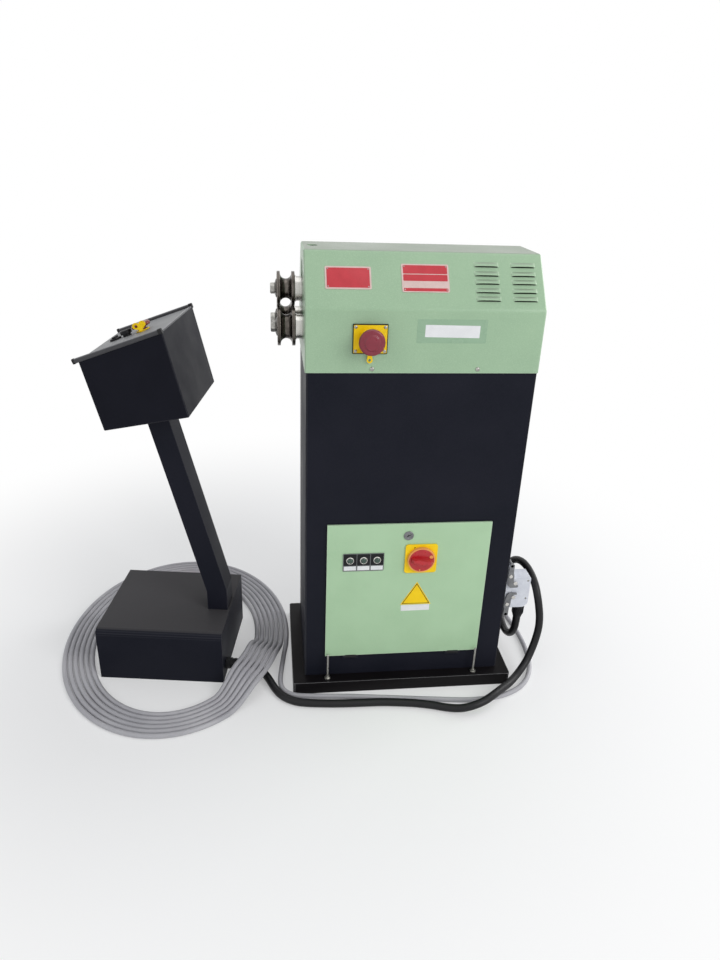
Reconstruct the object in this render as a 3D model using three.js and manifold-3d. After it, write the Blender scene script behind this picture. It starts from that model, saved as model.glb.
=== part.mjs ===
// A motorised ring roller: a sheet-metal cabinet under a folded hood, three grooved rolls on stub shafts,
// and a foot console on a control cable. Millimetres. The origin is the middle of the base plate's
// underside. +X runs along the shafts away from the rolls, -Y faces the door side and +Z is up.
import * as THREE from 'three';
import { mergeVertices } from 'three/addons/utils/BufferGeometryUtils.js';
import Module from 'manifold-3d';

const wasm = await Module();
wasm.setup();

// Driving dimensions shared by several pieces.
const gap = 0.3;
const overrun = 2;
const sheet = 2;
const base = { overhang: 26, height: 29, cornerRadius: 5 };
const cabinet = { length: 430, depth: 250, height: 685, lap: 20 };
const hood = { wallHeight: 115, riseHeight: 89.5, topWidth: 116 };
const shafts = { spacing: 75, aboveSkirt: 63, rise: 63, sleeve: 22.5, journal: 15, body: 20, upperBody: 17 };
const slide = { down: 6, up: 30 };
const frame = { halfWidth: 82, below: 124, above: 162, headThickness: 20, rearThickness: 15,
  clearLength: 128 };

const frontX = -cabinet.length / 2;
const rearX = cabinet.length / 2;
const sideY = cabinet.depth / 2;
const cabinetFoot = base.height + gap;
const skirtZ = base.height + cabinet.height;
const cabinetTop = skirtZ + cabinet.lap;
const creaseZ = skirtZ + hood.wallHeight;
const topZ = creaseZ + hood.riseHeight;
const hoodSide = sideY + gap + sheet;
const hoodFront = frontX - gap - sheet;
const hoodRear = rearX + gap + sheet;
const lowerZ = skirtZ + shafts.aboveSkirt;
const upperZ = lowerZ + shafts.rise;
const lowerY = shafts.spacing / 2;

const finishes = {
  green: { color: 0xa0be9e, roughness: 0.45, metalness: 0.1 },
  black: { color: 0x2d2f3a, roughness: 0.55, metalness: 0.1 },
  steel: { color: 0xb8b8b4, roughness: 0.3, metalness: 0.9 },
  rollSteel: { color: 0x4b4642, roughness: 0.35, metalness: 0.85 },
  plate: { color: 0x6a6c6e, roughness: 0.5, metalness: 0.8 },
  red: { color: 0xa8242a, roughness: 0.4, metalness: 0 },
  yellow: { color: 0xe8b820, roughness: 0.45, metalness: 0 },
  darkPlastic: { color: 0x18181a, roughness: 0.5, metalness: 0 },
  aluminium: { color: 0xc6c8ca, roughness: 0.4, metalness: 0.7 },
  motorBlue: { color: 0x4a525a, roughness: 0.5, metalness: 0.3 },
  greyCable: { color: 0x9a9ca4, roughness: 0.6, metalness: 0 },
  blackCable: { color: 0x1a1a1c, roughness: 0.65, metalness: 0 },
};
const materials = {};
for (const [name, finish] of Object.entries(finishes)) {
  materials[name] = new THREE.MeshStandardMaterial({ name, ...finish });
}

// A closed geometry as a solid that can be joined and cut, with its faces turned outwards.
function solidOf(shape) {
  if (!shape.isBufferGeometry) return shape;
  const bare = shape.clone();
  bare.deleteAttribute('normal');
  bare.deleteAttribute('uv');
  const merged = mergeVertices(bare);
  const points = merged.getAttribute('position').array;
  const index = merged.getIndex().array;
  const corners = [];
  const [a, b, c] = [new THREE.Vector3(), new THREE.Vector3(), new THREE.Vector3()];
  let volume = 0;
  for (let i = 0; i < index.length; i += 3) {
    const [p, q, r] = [index[i], index[i + 1], index[i + 2]];
    if (p === q || q === r || r === p) continue;
    corners.push(p, q, r);
    a.fromArray(points, 3 * p);
    b.fromArray(points, 3 * q);
    c.fromArray(points, 3 * r);
    volume += a.dot(b.cross(c));
  }
  const triVerts = Uint32Array.from(corners);
  if (volume < 0) triVerts.reverse();
  return new wasm.Manifold(new wasm.Mesh({ numProp: 3, vertProperties: Float32Array.from(points),
    triVerts }));
}

function join(...shapes) {
  return shapes.map(solidOf).reduce((whole, next) => whole.add(next));
}

function cut(shape, ...tools) {
  return tools.map(solidOf).reduce((rest, tool) => rest.subtract(tool), solidOf(shape));
}

function geometryOf(shape) {
  const mesh = solidOf(shape).getMesh();
  const geometry = new THREE.BufferGeometry();
  geometry.setAttribute('position', new THREE.BufferAttribute(mesh.vertProperties, 3));
  geometry.setIndex(new THREE.BufferAttribute(mesh.triVerts, 1));
  geometry.computeVertexNormals();
  return geometry;
}

const model = new THREE.Group();

function part(name, shape, finish, parent = model) {
  const mesh = new THREE.Mesh(geometryOf(shape), materials[finish]);
  mesh.name = name;
  parent.add(mesh);
  return mesh;
}

// A block between a low and a high value along each axis.
function block([x0, x1], [y0, y1], [z0, z1]) {
  const geometry = new THREE.BoxGeometry(x1 - x0, y1 - y0, z1 - z0);
  return geometry.translate((x0 + x1) / 2, (y0 + y1) / 2, (z0 + z1) / 2);
}

function around(middle, width) {
  return [middle - width / 2, middle + width / 2];
}

// A turned piece: its profile lists [place along the axis, radius].
function turned(axis, profile, [u, v], sides = 32) {
  const points = profile.map(([along, radius]) => new THREE.Vector2(radius, along));
  const geometry = new THREE.LatheGeometry(points, sides);
  if (axis === 'x') return geometry.rotateZ(-Math.PI / 2).translate(0, u, v);
  if (axis === 'y') return geometry.translate(u, 0, v);
  return geometry.rotateX(Math.PI / 2).translate(u, v, 0);
}

function rod(axis, [from, to], radius, centre, sides) {
  return turned(axis, [[from, 0], [from, radius], [to, radius], [to, 0]], centre, sides);
}

const unitX = new THREE.Vector3(1, 0, 0);
const unitY = new THREE.Vector3(0, 1, 0);
const unitZ = new THREE.Vector3(0, 0, 1);

// An outline of the two other axes, in alphabetical order, pushed along the named one.
function prism(axis, outline, [from, to]) {
  const shape = new THREE.Shape(outline.map(([u, v]) => new THREE.Vector2(u, v)));
  const geometry = new THREE.ExtrudeGeometry(shape, { depth: to - from, bevelEnabled: false });
  geometry.translate(0, 0, from);
  if (axis === 'x') geometry.applyMatrix4(new THREE.Matrix4().makeBasis(unitY, unitZ, unitX));
  if (axis === 'y') geometry.applyMatrix4(new THREE.Matrix4().makeBasis(unitX, unitZ, unitY));
  return geometry;
}

function arc(u, v, radius, fromAngle, toAngle, steps) {
  const points = [];
  for (let i = 0; i <= steps; i += 1) {
    const angle = fromAngle + (toAngle - fromAngle) * i / steps;
    points.push([u + radius * Math.cos(angle), v + radius * Math.sin(angle)]);
  }
  return points;
}

function roundedRectangle([u0, u1], [v0, v1], radius, steps = 3) {
  const quarter = Math.PI / 2;
  return [
    ...arc(u1 - radius, v0 + radius, radius, -quarter, 0, steps),
    ...arc(u1 - radius, v1 - radius, radius, 0, quarter, steps),
    ...arc(u0 + radius, v1 - radius, radius, quarter, 2 * quarter, steps),
    ...arc(u0 + radius, v0 + radius, radius, 2 * quarter, 3 * quarter, steps),
  ];
}

// Base plate, with the holes of the hold-down studs, which stand before the door's lower corners.
const door = { fromFront: 43.6, fromRear: 50, aboveBase: 53, height: 321, proud: 4, lip: 16 };
const doorX = [frontX + door.fromFront, rearX - door.fromRear];
const studs = { insideDoor: 5.5, beyondSide: 12, radius: 2.5, height: 63, washer: 7, washerThickness: 2,
  nut: 5, nutHeight: 4.5, depth: 20 };
const studPlaces = [doorX[0] + studs.insideDoor, doorX[1] - studs.insideDoor]
  .map((x) => [x, -sideY - studs.beyondSide]);

function basePlate() {
  const halfLength = cabinet.length / 2 + base.overhang;
  const halfDepth = cabinet.depth / 2 + base.overhang;
  const outline = roundedRectangle([-halfLength, halfLength], [-halfDepth, halfDepth], base.cornerRadius);
  const span = [base.height - studs.depth - gap, base.height + overrun];
  const holes = studPlaces.map((place) => rod('z', span, studs.radius + gap, place, 12));
  return cut(prism('z', outline, [0, base.height]), ...holes);
}

function holdDownStud(place) {
  const seat = base.height + gap;
  const top = seat + studs.washerThickness;
  return join(
    rod('z', [base.height - studs.depth, base.height + studs.height], studs.radius, place, 12),
    rod('z', [seat, top], studs.washer, place, 16),
    rod('z', [top - gap, top + studs.nutHeight], studs.nut, place, 6),
  );
}

part('base_plate', basePlate(), 'black');
part('stud_front', holdDownStud(studPlaces[0]), 'steel');
part('stud_rear', holdDownStud(studPlaces[1]), 'steel');

// Cabinet: a wrap of front, far and rear walls, and a near side with the door's opening.
const doorZ = [base.height + door.aboveBase, base.height + door.aboveBase + door.height];
const doorBack = -sideY - gap;
const doorFace = doorBack - door.proud;
const supplyGland = { fromRear: 35, aboveBase: 41, thread: 8, nut: 11, nutThickness: 5, hex: 11.5,
  hexLength: 10, domeLength: 18, mouth: 7.2 };
const supplyX = rearX - supplyGland.fromRear;
const supplyZ = base.height + supplyGland.aboveBase;

function cabinetWrap() {
  const [x0, x1, y0, y1] = [frontX, rearX, -sideY, sideY];
  const outline = [[x0, y0], [x0 + sheet, y0], [x0 + sheet, y1 - sheet], [x1 - sheet, y1 - sheet],
    [x1 - sheet, y0], [x1, y0], [x1, y1], [x0, y1]];
  const walls = prism('z', outline, [cabinetFoot, cabinetTop]);
  const glandHole = rod('y', [y1 - sheet - overrun, y1 + overrun], supplyGland.thread + gap,
    [supplyX, supplyZ], 20);
  return cut(walls, glandHole);
}

function cabinetSide() {
  const inner = sheet + gap;
  const wall = block([frontX + inner, rearX - inner], [-sideY, -sideY + sheet], [cabinetFoot, cabinetTop]);
  const opening = block([doorX[0] + door.lip, doorX[1] - door.lip],
    [-sideY - overrun, -sideY + sheet + overrun],
    [doorZ[0] + door.lip, doorZ[1] - door.lip]);
  return cut(wall, opening);
}

part('cabinet_wrap', cabinetWrap(), 'black');
part('cabinet_side', cabinetSide(), 'black');

// Hood: one folded sheet with end walls, open below, over the top of the cabinet.
const slopeRun = hoodSide - hood.topWidth / 2;
const slopeLength = Math.hypot(slopeRun, hood.riseHeight);
const slopeAngle = Math.atan2(hood.riseHeight, slopeRun);
const slopeFrame = new THREE.Matrix4()
  .makeBasis(unitX, new THREE.Vector3(0, Math.cos(slopeAngle), Math.sin(slopeAngle)),
    new THREE.Vector3(0, -Math.sin(slopeAngle), Math.cos(slopeAngle)))
  .setPosition(0, -hoodSide, creaseZ);
const louvres = { length: 46, fromRear: [127, 59], upSlope: [22.5, 38.5, 55.5, 71.5, 89.5], width: 9,
  proud: 4, slit: 4, slitBelow: 1.8 };
const topHole = { fromFront: 19, radius: 10 };
const estop = { fromFront: 113.5, aboveSkirt: 62.75, width: 63, height: 53.5, plate: 3, collar: 17,
  collarHeight: 6, thread: 13, nut: 18, nutThickness: 6, stem: 10, mushroom: 23.5, neck: 14, rim: 6,
  dome: 3, headHeight: 13, reach: 36 };
const estopX = frontX + estop.fromFront;
const estopZ = skirtZ + estop.aboveSkirt;

function offsetSection(inset, foot) {
  const crease = creaseZ - inset * Math.tan((Math.PI / 2 - slopeAngle) / 2);
  const shoulder = hood.topWidth / 2 - inset * Math.tan(slopeAngle / 2);
  const half = hoodSide - inset;
  return [[-half, foot], [half, foot], [half, crease], [shoulder, topZ - inset],
    [-shoulder, topZ - inset], [-half, crease]];
}

function onSlope(geometry) {
  return geometry.applyMatrix4(slopeFrame);
}

function louvreAt(x, along) {
  const outline = [[along - louvres.width / 2, -sheet / 2], [along + louvres.width / 2, -sheet / 2],
    [along + louvres.width / 2, -gap], [along - louvres.width / 2, louvres.proud]];
  return onSlope(prism('x', outline, around(x, louvres.length)));
}

function louvreSlitAt(x, along) {
  const low = along - louvres.width / 2 - louvres.slitBelow;
  const depth = [-sheet - overrun, sheet / 2];
  return onSlope(block(around(x, louvres.length - 2 * sheet), [low, low + louvres.slit], depth));
}

const louvrePlaces = louvres.fromRear.flatMap((back) => louvres.upSlope
  .map((along) => [rearX - back + louvres.length / 2, along]));

function hoodShell() {
  const outer = prism('x', offsetSection(0, skirtZ), [hoodFront, hoodRear]);
  const inner = prism('x', offsetSection(sheet, skirtZ - overrun), [hoodFront + sheet, hoodRear - sheet]);
  const wall = [hoodFront - overrun, hoodFront + sheet + overrun];
  const clear = shafts.sleeve + sheet;
  const openings = [-lowerY, lowerY].map((y) => rod('x', wall, clear, [y, lowerZ], 24));
  openings.push(prism('x', [...arc(0, upperZ - slide.down, clear, Math.PI, 2 * Math.PI, 12),
    ...arc(0, upperZ + slide.up, clear, 0, Math.PI, 12)], wall));
  const lookHole = rod('z', [topZ - sheet - overrun, topZ + overrun], topHole.radius,
    [frontX + topHole.fromFront, 0], 24);
  const stopHole = rod('y', [-hoodSide - overrun, -hoodSide + sheet + overrun], estop.thread + gap,
    [estopX, estopZ], 24);
  const shell = join(cut(outer, inner), ...louvrePlaces.map(([x, along]) => louvreAt(x, along)));
  return cut(shell, ...openings, lookHole, stopHole, ...louvrePlaces.map(([x, along]) => louvreSlitAt(x,
    along)));
}

part('hood', hoodShell(), 'green');

// Bearing frame: a head plate behind the front wall and a rear plate with spacer bars and a motor shelf.
const bearings = { outer: 28, bridge: 12, width: 16, rearWidth: 13, inset: 2, rearInset: 1 };
const guides = { thickness: 20, width: 19.7, foot: 29 };
const bars = { radius: 9, sideInset: 14, footInset: 100, topInset: 12 };
const shelf = { halfWidth: 55, thickness: 10 };
const slideBlock = { below: 34, above: 34, halfWidth: 36, nutRadius: 15, nutLength: 64 };
const headX = [frontX + sheet + gap, frontX + sheet + gap + frame.headThickness];
const rearPlateX = [headX[1] + frame.clearLength, headX[1] + frame.clearLength + frame.rearThickness];
const frameZ = [skirtZ - frame.below, skirtZ + frame.above];
const headRing = [headX[0] + bearings.inset, headX[0] + bearings.inset + bearings.width];
const rearRing = [rearPlateX[0] + bearings.rearInset,
  rearPlateX[0] + bearings.rearInset + bearings.rearWidth];

// Both lower bearings share one block at each plate: two round housings with a bridge between them.
function twinHousing(span, clearance) {
  const radius = bearings.outer + clearance;
  const bridge = bearings.bridge + clearance;
  return join(rod('x', span, radius, [-lowerY, lowerZ], 32), rod('x', span, radius, [lowerY, lowerZ], 32),
    block(span, [-lowerY, lowerY], [lowerZ - bridge, lowerZ + bridge]));
}

function framePlate(span) {
  const plate = block(span, [-frame.halfWidth, frame.halfWidth], frameZ);
  return cut(plate, twinHousing([span[0] - overrun, span[1] + overrun], gap));
}

function guidePair([from, to]) {
  const foot = lowerZ + guides.foot;
  return [-1, 1].map((side) => {
    const near = side * (slideBlock.halfWidth + gap);
    const span = [near, near + side * guides.width].sort((p, q) => p - q);
    return block([from, to], span, [foot, frameZ[1]]);
  });
}

function headPlate() {
  const clear = shafts.sleeve + sheet;
  const low = upperZ - slide.down;
  const wide = [headX[0] - overrun, headX[1] + overrun];
  const slot = prism('x', [...arc(0, low, clear, Math.PI, 2 * Math.PI, 12), [clear, frameZ[1] + overrun],
    [-clear, frameZ[1] + overrun]], wide);
  const rails = guidePair([headX[1] - overrun, headX[1] + guides.thickness]);
  return join(cut(framePlate(headX), slot), ...rails.map((rail) => cut(rail, slot)));
}

function rearPlate() {
  const rails = guidePair([rearPlateX[0] - guides.thickness, rearPlateX[0] + overrun]);
  const span = [headX[1] + gap, rearPlateX[0] + overrun];
  const barY = frame.halfWidth - bars.sideInset;
  const barZ = [frameZ[0] + bars.footInset, frameZ[1] - bars.topInset];
  const barSet = [-barY, barY].flatMap((y) => barZ.map((z) => rod('x', span, bars.radius, [y, z], 16)));
  const motorShelf = block(span, [-shelf.halfWidth, shelf.halfWidth],
    [frameZ[0], frameZ[0] + shelf.thickness]);
  return join(framePlate(rearPlateX), ...rails, ...barSet, motorShelf);
}

function bearingBlock(span) {
  const bores = [-lowerY, lowerY].map((y) => rod('x', [span[0] - overrun, span[1] + overrun],
    shafts.journal + gap, [y, lowerZ], 32));
  return cut(twinHousing(span, 0), ...bores);
}

part('head_plate', headPlate(), 'plate');
part('rear_plate', rearPlate(), 'plate');
part('head_bearings', bearingBlock(headRing), 'steel');
part('rear_bearings', bearingBlock(rearRing), 'steel');

// Rolls: the same groove, turned in a larger lower pair and a smaller upper roll.
const roll = { flange: 6, groove: 21, stickOut: 49, lower: 35, upper: 31, grooveDepth: 13.5, seat: 12.5,
  edge: 1.2, tipInset: 1 };
const collar = { thickness: 2, radius: 24 };
const rollBolt = { washerRadius: 17, washerEdge: 9.5, washerThickness: 4, headRadius: 10.2, headHeight: 8,
  shank: 5, depth: 24 };
const rollX = [frontX - roll.stickOut, frontX - roll.stickOut + 2 * roll.flange + roll.groove];
const shaftTip = rollX[0] + roll.tipInset;

function rollProfile(radius) {
  const [from, to] = rollX;
  const middle = (from + to) / 2;
  const half = roll.groove / 2;
  const bottom = radius - roll.grooveDepth;
  const bore = roll.seat + gap;
  const round = arc(middle, bottom + half, half, Math.PI, 2 * Math.PI, 8);
  return [[from, bore], [from, radius - roll.edge], [from + roll.edge, radius],
    [from + roll.flange - roll.edge, radius], ...round,
    [to - roll.flange + roll.edge, radius], [to - roll.edge, radius], [to, radius - roll.edge],
    [to, bore], [from, bore]];
}

function rollAt(radius, centre) {
  return turned('x', rollProfile(radius), centre, 32);
}

function boltHole(centre) {
  const seat = rollX[0] - gap;
  return rod('x', [seat - overrun, seat + rollBolt.depth + gap], rollBolt.shank + gap, centre, 16);
}

function rollBoltAt(centre) {
  const seat = rollX[0] - gap;
  const crown = seat - rollBolt.washerThickness;
  const washer = turned('x', [[crown, 0], [crown, rollBolt.washerEdge],
    [seat - sheet / 2, rollBolt.washerRadius],
    [seat, rollBolt.washerRadius], [seat, 0]], centre, 24);
  const head = rod('x', [crown - rollBolt.headHeight, crown + gap], rollBolt.headRadius, centre, 6);
  return join(washer, head, rod('x', [seat - gap, seat + rollBolt.depth], rollBolt.shank, centre, 16));
}

function noseProfile() {
  const collarX = rollX[1] + gap;
  return [[shaftTip, 0], [shaftTip, roll.seat], [collarX, roll.seat], [collarX, collar.radius],
    [collarX + collar.thickness, collar.radius], [collarX + collar.thickness, shafts.sleeve]];
}

// Lower shafts in their bearings, with a gear on each rear end and a pinion below and between them.
const gears = { module: 2, teeth: 32, pinionTeeth: 22, width: 20, behindPlate: 5, bore: 13, tipShare: 0.6,
  rootShare: 0.9, tipWidthShare: 0.26, rootWidthShare: 0.56, tailLength: 1 };
const gearX = [rearPlateX[1] + gears.behindPlate, rearPlateX[1] + gears.behindPlate + gears.width];
const gearRadius = gears.module * gears.teeth / 2;
const pinionRadius = gears.module * gears.pinionTeeth / 2;
const pinionZ = lowerZ - Math.sqrt((gearRadius + pinionRadius) ** 2 - lowerY ** 2);

function lowerShaft(y) {
  const end = gearX[1] + gears.tailLength;
  const profile = [...noseProfile(), [headRing[0] - gap, shafts.sleeve], [headRing[0] - gap, shafts.journal],
    [headRing[1] + gap, shafts.journal], [headRing[1] + gap, shafts.body], [rearRing[0] - gap, shafts.body],
    [rearRing[0] - gap, shafts.journal], [rearRing[1] + gap, shafts.journal],
    [rearRing[1] + gap, gears.bore],
    [end, gears.bore], [end, 0]];
  return cut(turned('x', profile, [y, lowerZ], 32), boltHole([y, lowerZ]));
}

function gearOutline(teeth, phase, [u, v]) {
  const pitchRadius = gears.module * teeth / 2;
  const tip = pitchRadius + gears.tipShare * gears.module;
  const root = pitchRadius - gears.rootShare * gears.module;
  const step = 2 * Math.PI / teeth;
  const points = [];
  for (let i = 0; i < teeth; i += 1) {
    const middle = phase + i * step;
    const corners = [[root, -gears.rootWidthShare / 2], [tip, -gears.tipWidthShare / 2],
      [tip, gears.tipWidthShare / 2], [root, gears.rootWidthShare / 2]];
    for (const [radius, share] of corners) {
      const angle = middle + share * step;
      points.push([u + radius * Math.cos(angle), v + radius * Math.sin(angle)]);
    }
  }
  return points;
}

// The phase that puts a gap of the gear over the pinion's tooth where the two meet.
function meshedPhase(y) {
  const toPinion = Math.atan2(pinionZ - lowerZ, -y);
  const toGear = Math.atan2(lowerZ - pinionZ, y);
  const share = toGear / (2 * Math.PI / gears.pinionTeeth);
  return toPinion + (share - Math.floor(share) + 0.5) * (2 * Math.PI / gears.teeth);
}

function gearAt(y) {
  const blank = prism('x', gearOutline(gears.teeth, meshedPhase(y), [y, lowerZ]), gearX);
  return cut(blank, rod('x', [gearX[0] - overrun, gearX[1] + overrun], gears.bore + gap, [y, lowerZ], 32));
}

for (const [side, y] of [['near', -lowerY], ['far', lowerY]]) {
  part(`lower_shaft_${side}`, lowerShaft(y), 'steel');
  part(`lower_roll_${side}`, rollAt(roll.lower, [y, lowerZ]), 'rollSteel');
  part(`roll_bolt_${side}`, rollBoltAt([y, lowerZ]), 'steel');
  part(`lower_gear_${side}`, gearAt(y), 'plate');
}

// Drive: the pinion's shaft runs into a gearbox on a lantern bracket, with the motor hanging below it.
const gearbox = { standOff: 10, flange: 10, length: 80, halfWidth: 50, below: 70, above: 52, cheek: 8,
  shaft: 12, shaftDepth: 24 };
const driveMotor = { radius: 58, height: 190, fromFlange: 40, capRadius: 50, capHeight: 14 };
const gearboxX = gearX[1] + gearbox.standOff;
const gearboxZ = [pinionZ - gearbox.below, pinionZ + gearbox.above];

function drivePinion() {
  const teeth = prism('x', gearOutline(gears.pinionTeeth, 0, [0, pinionZ]), gearX);
  return join(teeth, rod('x', [gearX[1] - overrun, gearboxX + gearbox.shaftDepth], gearbox.shaft,
    [0, pinionZ], 24));
}

function gearboxBody() {
  const outerY = frame.halfWidth;
  const flange = block([gearboxX, gearboxX + gearbox.flange], [-outerY, outerY], gearboxZ);
  const body = block([gearboxX, gearboxX + gearbox.length], [-gearbox.halfWidth, gearbox.halfWidth],
    gearboxZ);
  const cheekX = [rearPlateX[1] + gap, gearboxX + overrun];
  const cheeks = [-1, 1].map((side) => block(cheekX,
    [side * outerY, side * (outerY - gearbox.cheek)].sort((p, q) => p - q), gearboxZ));
  const bore = rod('x', [gearboxX - overrun, gearboxX + gearbox.shaftDepth + gap], gearbox.shaft + gap,
    [0, pinionZ], 24);
  return cut(join(flange, body, ...cheeks), bore);
}

function motorBody() {
  const top = gearboxZ[0] - gap;
  const foot = top - driveMotor.height;
  const profile = [[foot, 0], [foot, driveMotor.capRadius], [foot + driveMotor.capHeight, driveMotor.radius],
    [top, driveMotor.radius], [top, 0]];
  return turned('z', profile, [gearboxX + driveMotor.fromFlange, 0], 32);
}

part('drive_pinion', drivePinion(), 'plate');
part('gearbox', gearboxBody(), 'motorBlue');
part('drive_motor', motorBody(), 'motorBlue');

// Slide: a block between the guides carries the upper shaft, and a screw from below lifts it.
const screw = { radius: 10, collar: 15, collarHeight: 12, topBelowShaft: 11 };
const adjustMotor = { length: 64, halfWidth: 32, height: 60, radius: 26, reach: 64 };
const slideX = [headX[1] + gap, rearPlateX[0] - gap];
const screwX = (slideX[0] + slideX[1]) / 2;
const shelfTop = frameZ[0] + shelf.thickness;
const adjustTop = shelfTop + gap + adjustMotor.height;
const screwTop = upperZ - shafts.upperBody - screw.topBelowShaft;

function slideBlockShape() {
  const low = upperZ - slideBlock.below;
  const body = block(slideX, [-slideBlock.halfWidth, slideBlock.halfWidth],
    [low, upperZ + slideBlock.above]);
  const nut = rod('z', [low - slideBlock.nutLength, low + overrun], slideBlock.nutRadius, [screwX, 0], 24);
  const bore = rod('x', [slideX[0] - overrun, slideX[1] + overrun], shafts.upperBody + gap, [0, upperZ], 32);
  const screwHole = rod('z', [low - slideBlock.nutLength - overrun, upperZ], screw.radius + gap, [screwX, 0],
    24);
  return cut(join(body, nut), bore, screwHole);
}

function adjustingScrew() {
  const foot = adjustTop + gap;
  return turned('z', [[foot, 0], [foot, screw.collar], [foot + screw.collarHeight, screw.collar],
    [foot + screw.collarHeight, screw.radius], [screwTop, screw.radius], [screwTop, 0]], [screwX, 0], 24);
}

function adjustingMotor() {
  const box = block(around(screwX, adjustMotor.length), [-adjustMotor.halfWidth, adjustMotor.halfWidth],
    [shelfTop + gap, adjustTop]);
  const motorZ = (shelfTop + gap + adjustTop) / 2;
  const span = [adjustMotor.halfWidth - overrun, adjustMotor.halfWidth + adjustMotor.reach];
  return join(box, rod('y', span, adjustMotor.radius, [screwX, motorZ], 24));
}

function upperShaft() {
  const profile = [...noseProfile(), [headX[1], shafts.sleeve], [headX[1], shafts.upperBody],
    [slideX[1] - sheet / 2, shafts.upperBody], [slideX[1] - sheet / 2, 0]];
  return cut(turned('x', profile, [0, upperZ], 32), boltHole([0, upperZ]));
}

part('slide_block', slideBlockShape(), 'plate');
part('adjusting_screw', adjustingScrew(), 'steel');
part('adjusting_motor', adjustingMotor(), 'motorBlue');
part('upper_shaft', upperShaft(), 'steel');
part('upper_roll', rollAt(roll.upper, [0, upperZ]), 'rollSteel');
part('roll_bolt_upper', rollBoltAt([0, upperZ]), 'steel');

// Emergency stop on the hood: plate with a threaded collar, ring tab and mushroom button.
const ringTab = { thickness: 2, radius: 21, tongue: 5.5, drop: 43, hole: 2.8, holeDrop: 37.5 };

function estopPlate() {
  const back = -hoodSide - gap;
  const front = back - estop.plate;
  const at = [estopX, estopZ];
  const plate = block(around(estopX, estop.width), [front, back], around(estopZ, estop.height));
  const inside = -hoodSide + sheet + gap;
  const body = join(plate, rod('y', [front - estop.collarHeight, back], estop.collar, at, 24),
    rod('y', [back - overrun, inside + overrun], estop.thread, at, 24),
    rod('y', [inside, inside + estop.nutThickness], estop.nut, at, 6));
  const bore = rod('y', [front - estop.collarHeight - overrun, inside + estop.nutThickness + overrun],
    estop.stem + gap, at, 24);
  return cut(body, bore);
}

function estopTab() {
  const back = -hoodSide - gap - estop.plate - gap;
  const span = [back - ringTab.thickness, back];
  const tongue = block(around(estopX, 2 * ringTab.tongue), span, [estopZ - ringTab.drop, estopZ]);
  const bores = [rod('y', [span[0] - overrun, span[1] + overrun], estop.collar + gap, [estopX, estopZ], 24),
    rod('y', [span[0] - overrun, span[1] + overrun], ringTab.hole, [estopX, estopZ - ringTab.holeDrop], 12)];
  return cut(join(rod('y', span, ringTab.radius, [estopX, estopZ], 24), tongue), ...bores);
}

function mushroom(face, stemEnd, sizes, centre) {
  const back = face + sizes.headHeight;
  return turned('y', [[stemEnd, 0], [stemEnd, sizes.stem], [back + sizes.rim, sizes.stem],
    [back, sizes.neck],
    [back - sizes.rim / 2, sizes.mushroom], [face + sizes.dome, sizes.mushroom],
    [face, sizes.neck], [face, 0]], centre, 32);
}

part('estop_plate', estopPlate(), 'yellow');
part('estop_tab', estopTab(), 'yellow');
part('estop_button', mushroom(-hoodSide - estop.reach, -hoodSide + sheet + gap, estop, [estopX, estopZ]),
  'red');

// Door: a folded tray on two pins below, with the isolator, lamps and lock.
const hinge = { pin: 1.4, knuckle: 3.2, length: 24, lug: 4, fromEdge: 55, drop: 3.8, lugDepth: 5.6 };
const isolator = { afterLamps: 43.1, belowTop: 80.5, size: 67, corner: 6, thickness: 3, bodyHalf: 25,
  bodyDepth: 45, shaft: 5, knobLong: 27, knobShort: 26, knobDisc: 6, grip: 14, gripHalf: 22, gripHeight: 13,
  tiltAngle: 0.14 };
const lamps = { spacing: 27.75, bezel: 8.2, bezelHeight: 3, body: 6.5,
  bodyDepth: 17, lens: 6, lensHeight: 2.4 };
const lampPlate = { fromDoorFront: 32.9, length: 83.9, belowLamps: 26, height: 41, thickness: 1.5 };
const lock = { beforeMiddle: 3.3, belowLip: 2, radius: 9, flange: 10, proud: 2, barrelDepth: 12,
  camLength: 24,
  camHalf: 5, camThickness: 3 };
const lampPlateX = doorX[0] + lampPlate.fromDoorFront;
const isolatorX = lampPlateX + lampPlate.length + isolator.afterLamps + isolator.size / 2;
const isolatorZ = doorZ[1] - isolator.belowTop;
const lampX = [-1, 0, 1].map((step) => lampPlateX + lampPlate.length / 2 + step * lamps.spacing);
const lockX = (doorX[0] + doorX[1]) / 2 - lock.beforeMiddle;
const lockZ = doorZ[1] - door.lip - lock.radius - lock.belowLip;
const hingeY = doorFace + door.proud / 4;
const hingeZ = doorZ[0] - hinge.drop;
const knuckleX = [doorX[0] + hinge.fromEdge, doorX[1] - hinge.fromEdge];
const through = [doorFace - overrun, doorBack + overrun];

function doorTray() {
  const outer = block(doorX, [doorFace, doorBack], doorZ);
  const inner = block([doorX[0] + sheet, doorX[1] - sheet], [doorFace + sheet, doorBack + overrun],
    [doorZ[0] + sheet, doorZ[1] - sheet]);
  const half = isolator.bodyHalf + gap;
  const holes = [
    block([isolatorX - half, isolatorX + half], through, [isolatorZ - half, isolatorZ + half]),
    ...lampX.map((x) => rod('y', through, lamps.body + gap, [x, isolatorZ], 16)),
    rod('y', through, lock.radius + gap, [lockX, lockZ], 20),
  ];
  const knuckles = knuckleX.map((x) => {
    const span = around(x, hinge.length);
    const eye = join(rod('x', span, hinge.knuckle, [hingeY, hingeZ], 12),
      block(span, [hingeY - hinge.pin, hingeY + hinge.pin / 2], [hingeZ, doorZ[0] + sheet / 2]));
    return cut(eye, rod('x', [span[0] - overrun, span[1] + overrun], hinge.pin + gap, [hingeY, hingeZ], 10));
  });
  return join(cut(outer, inner, ...holes), ...knuckles);
}

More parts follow.
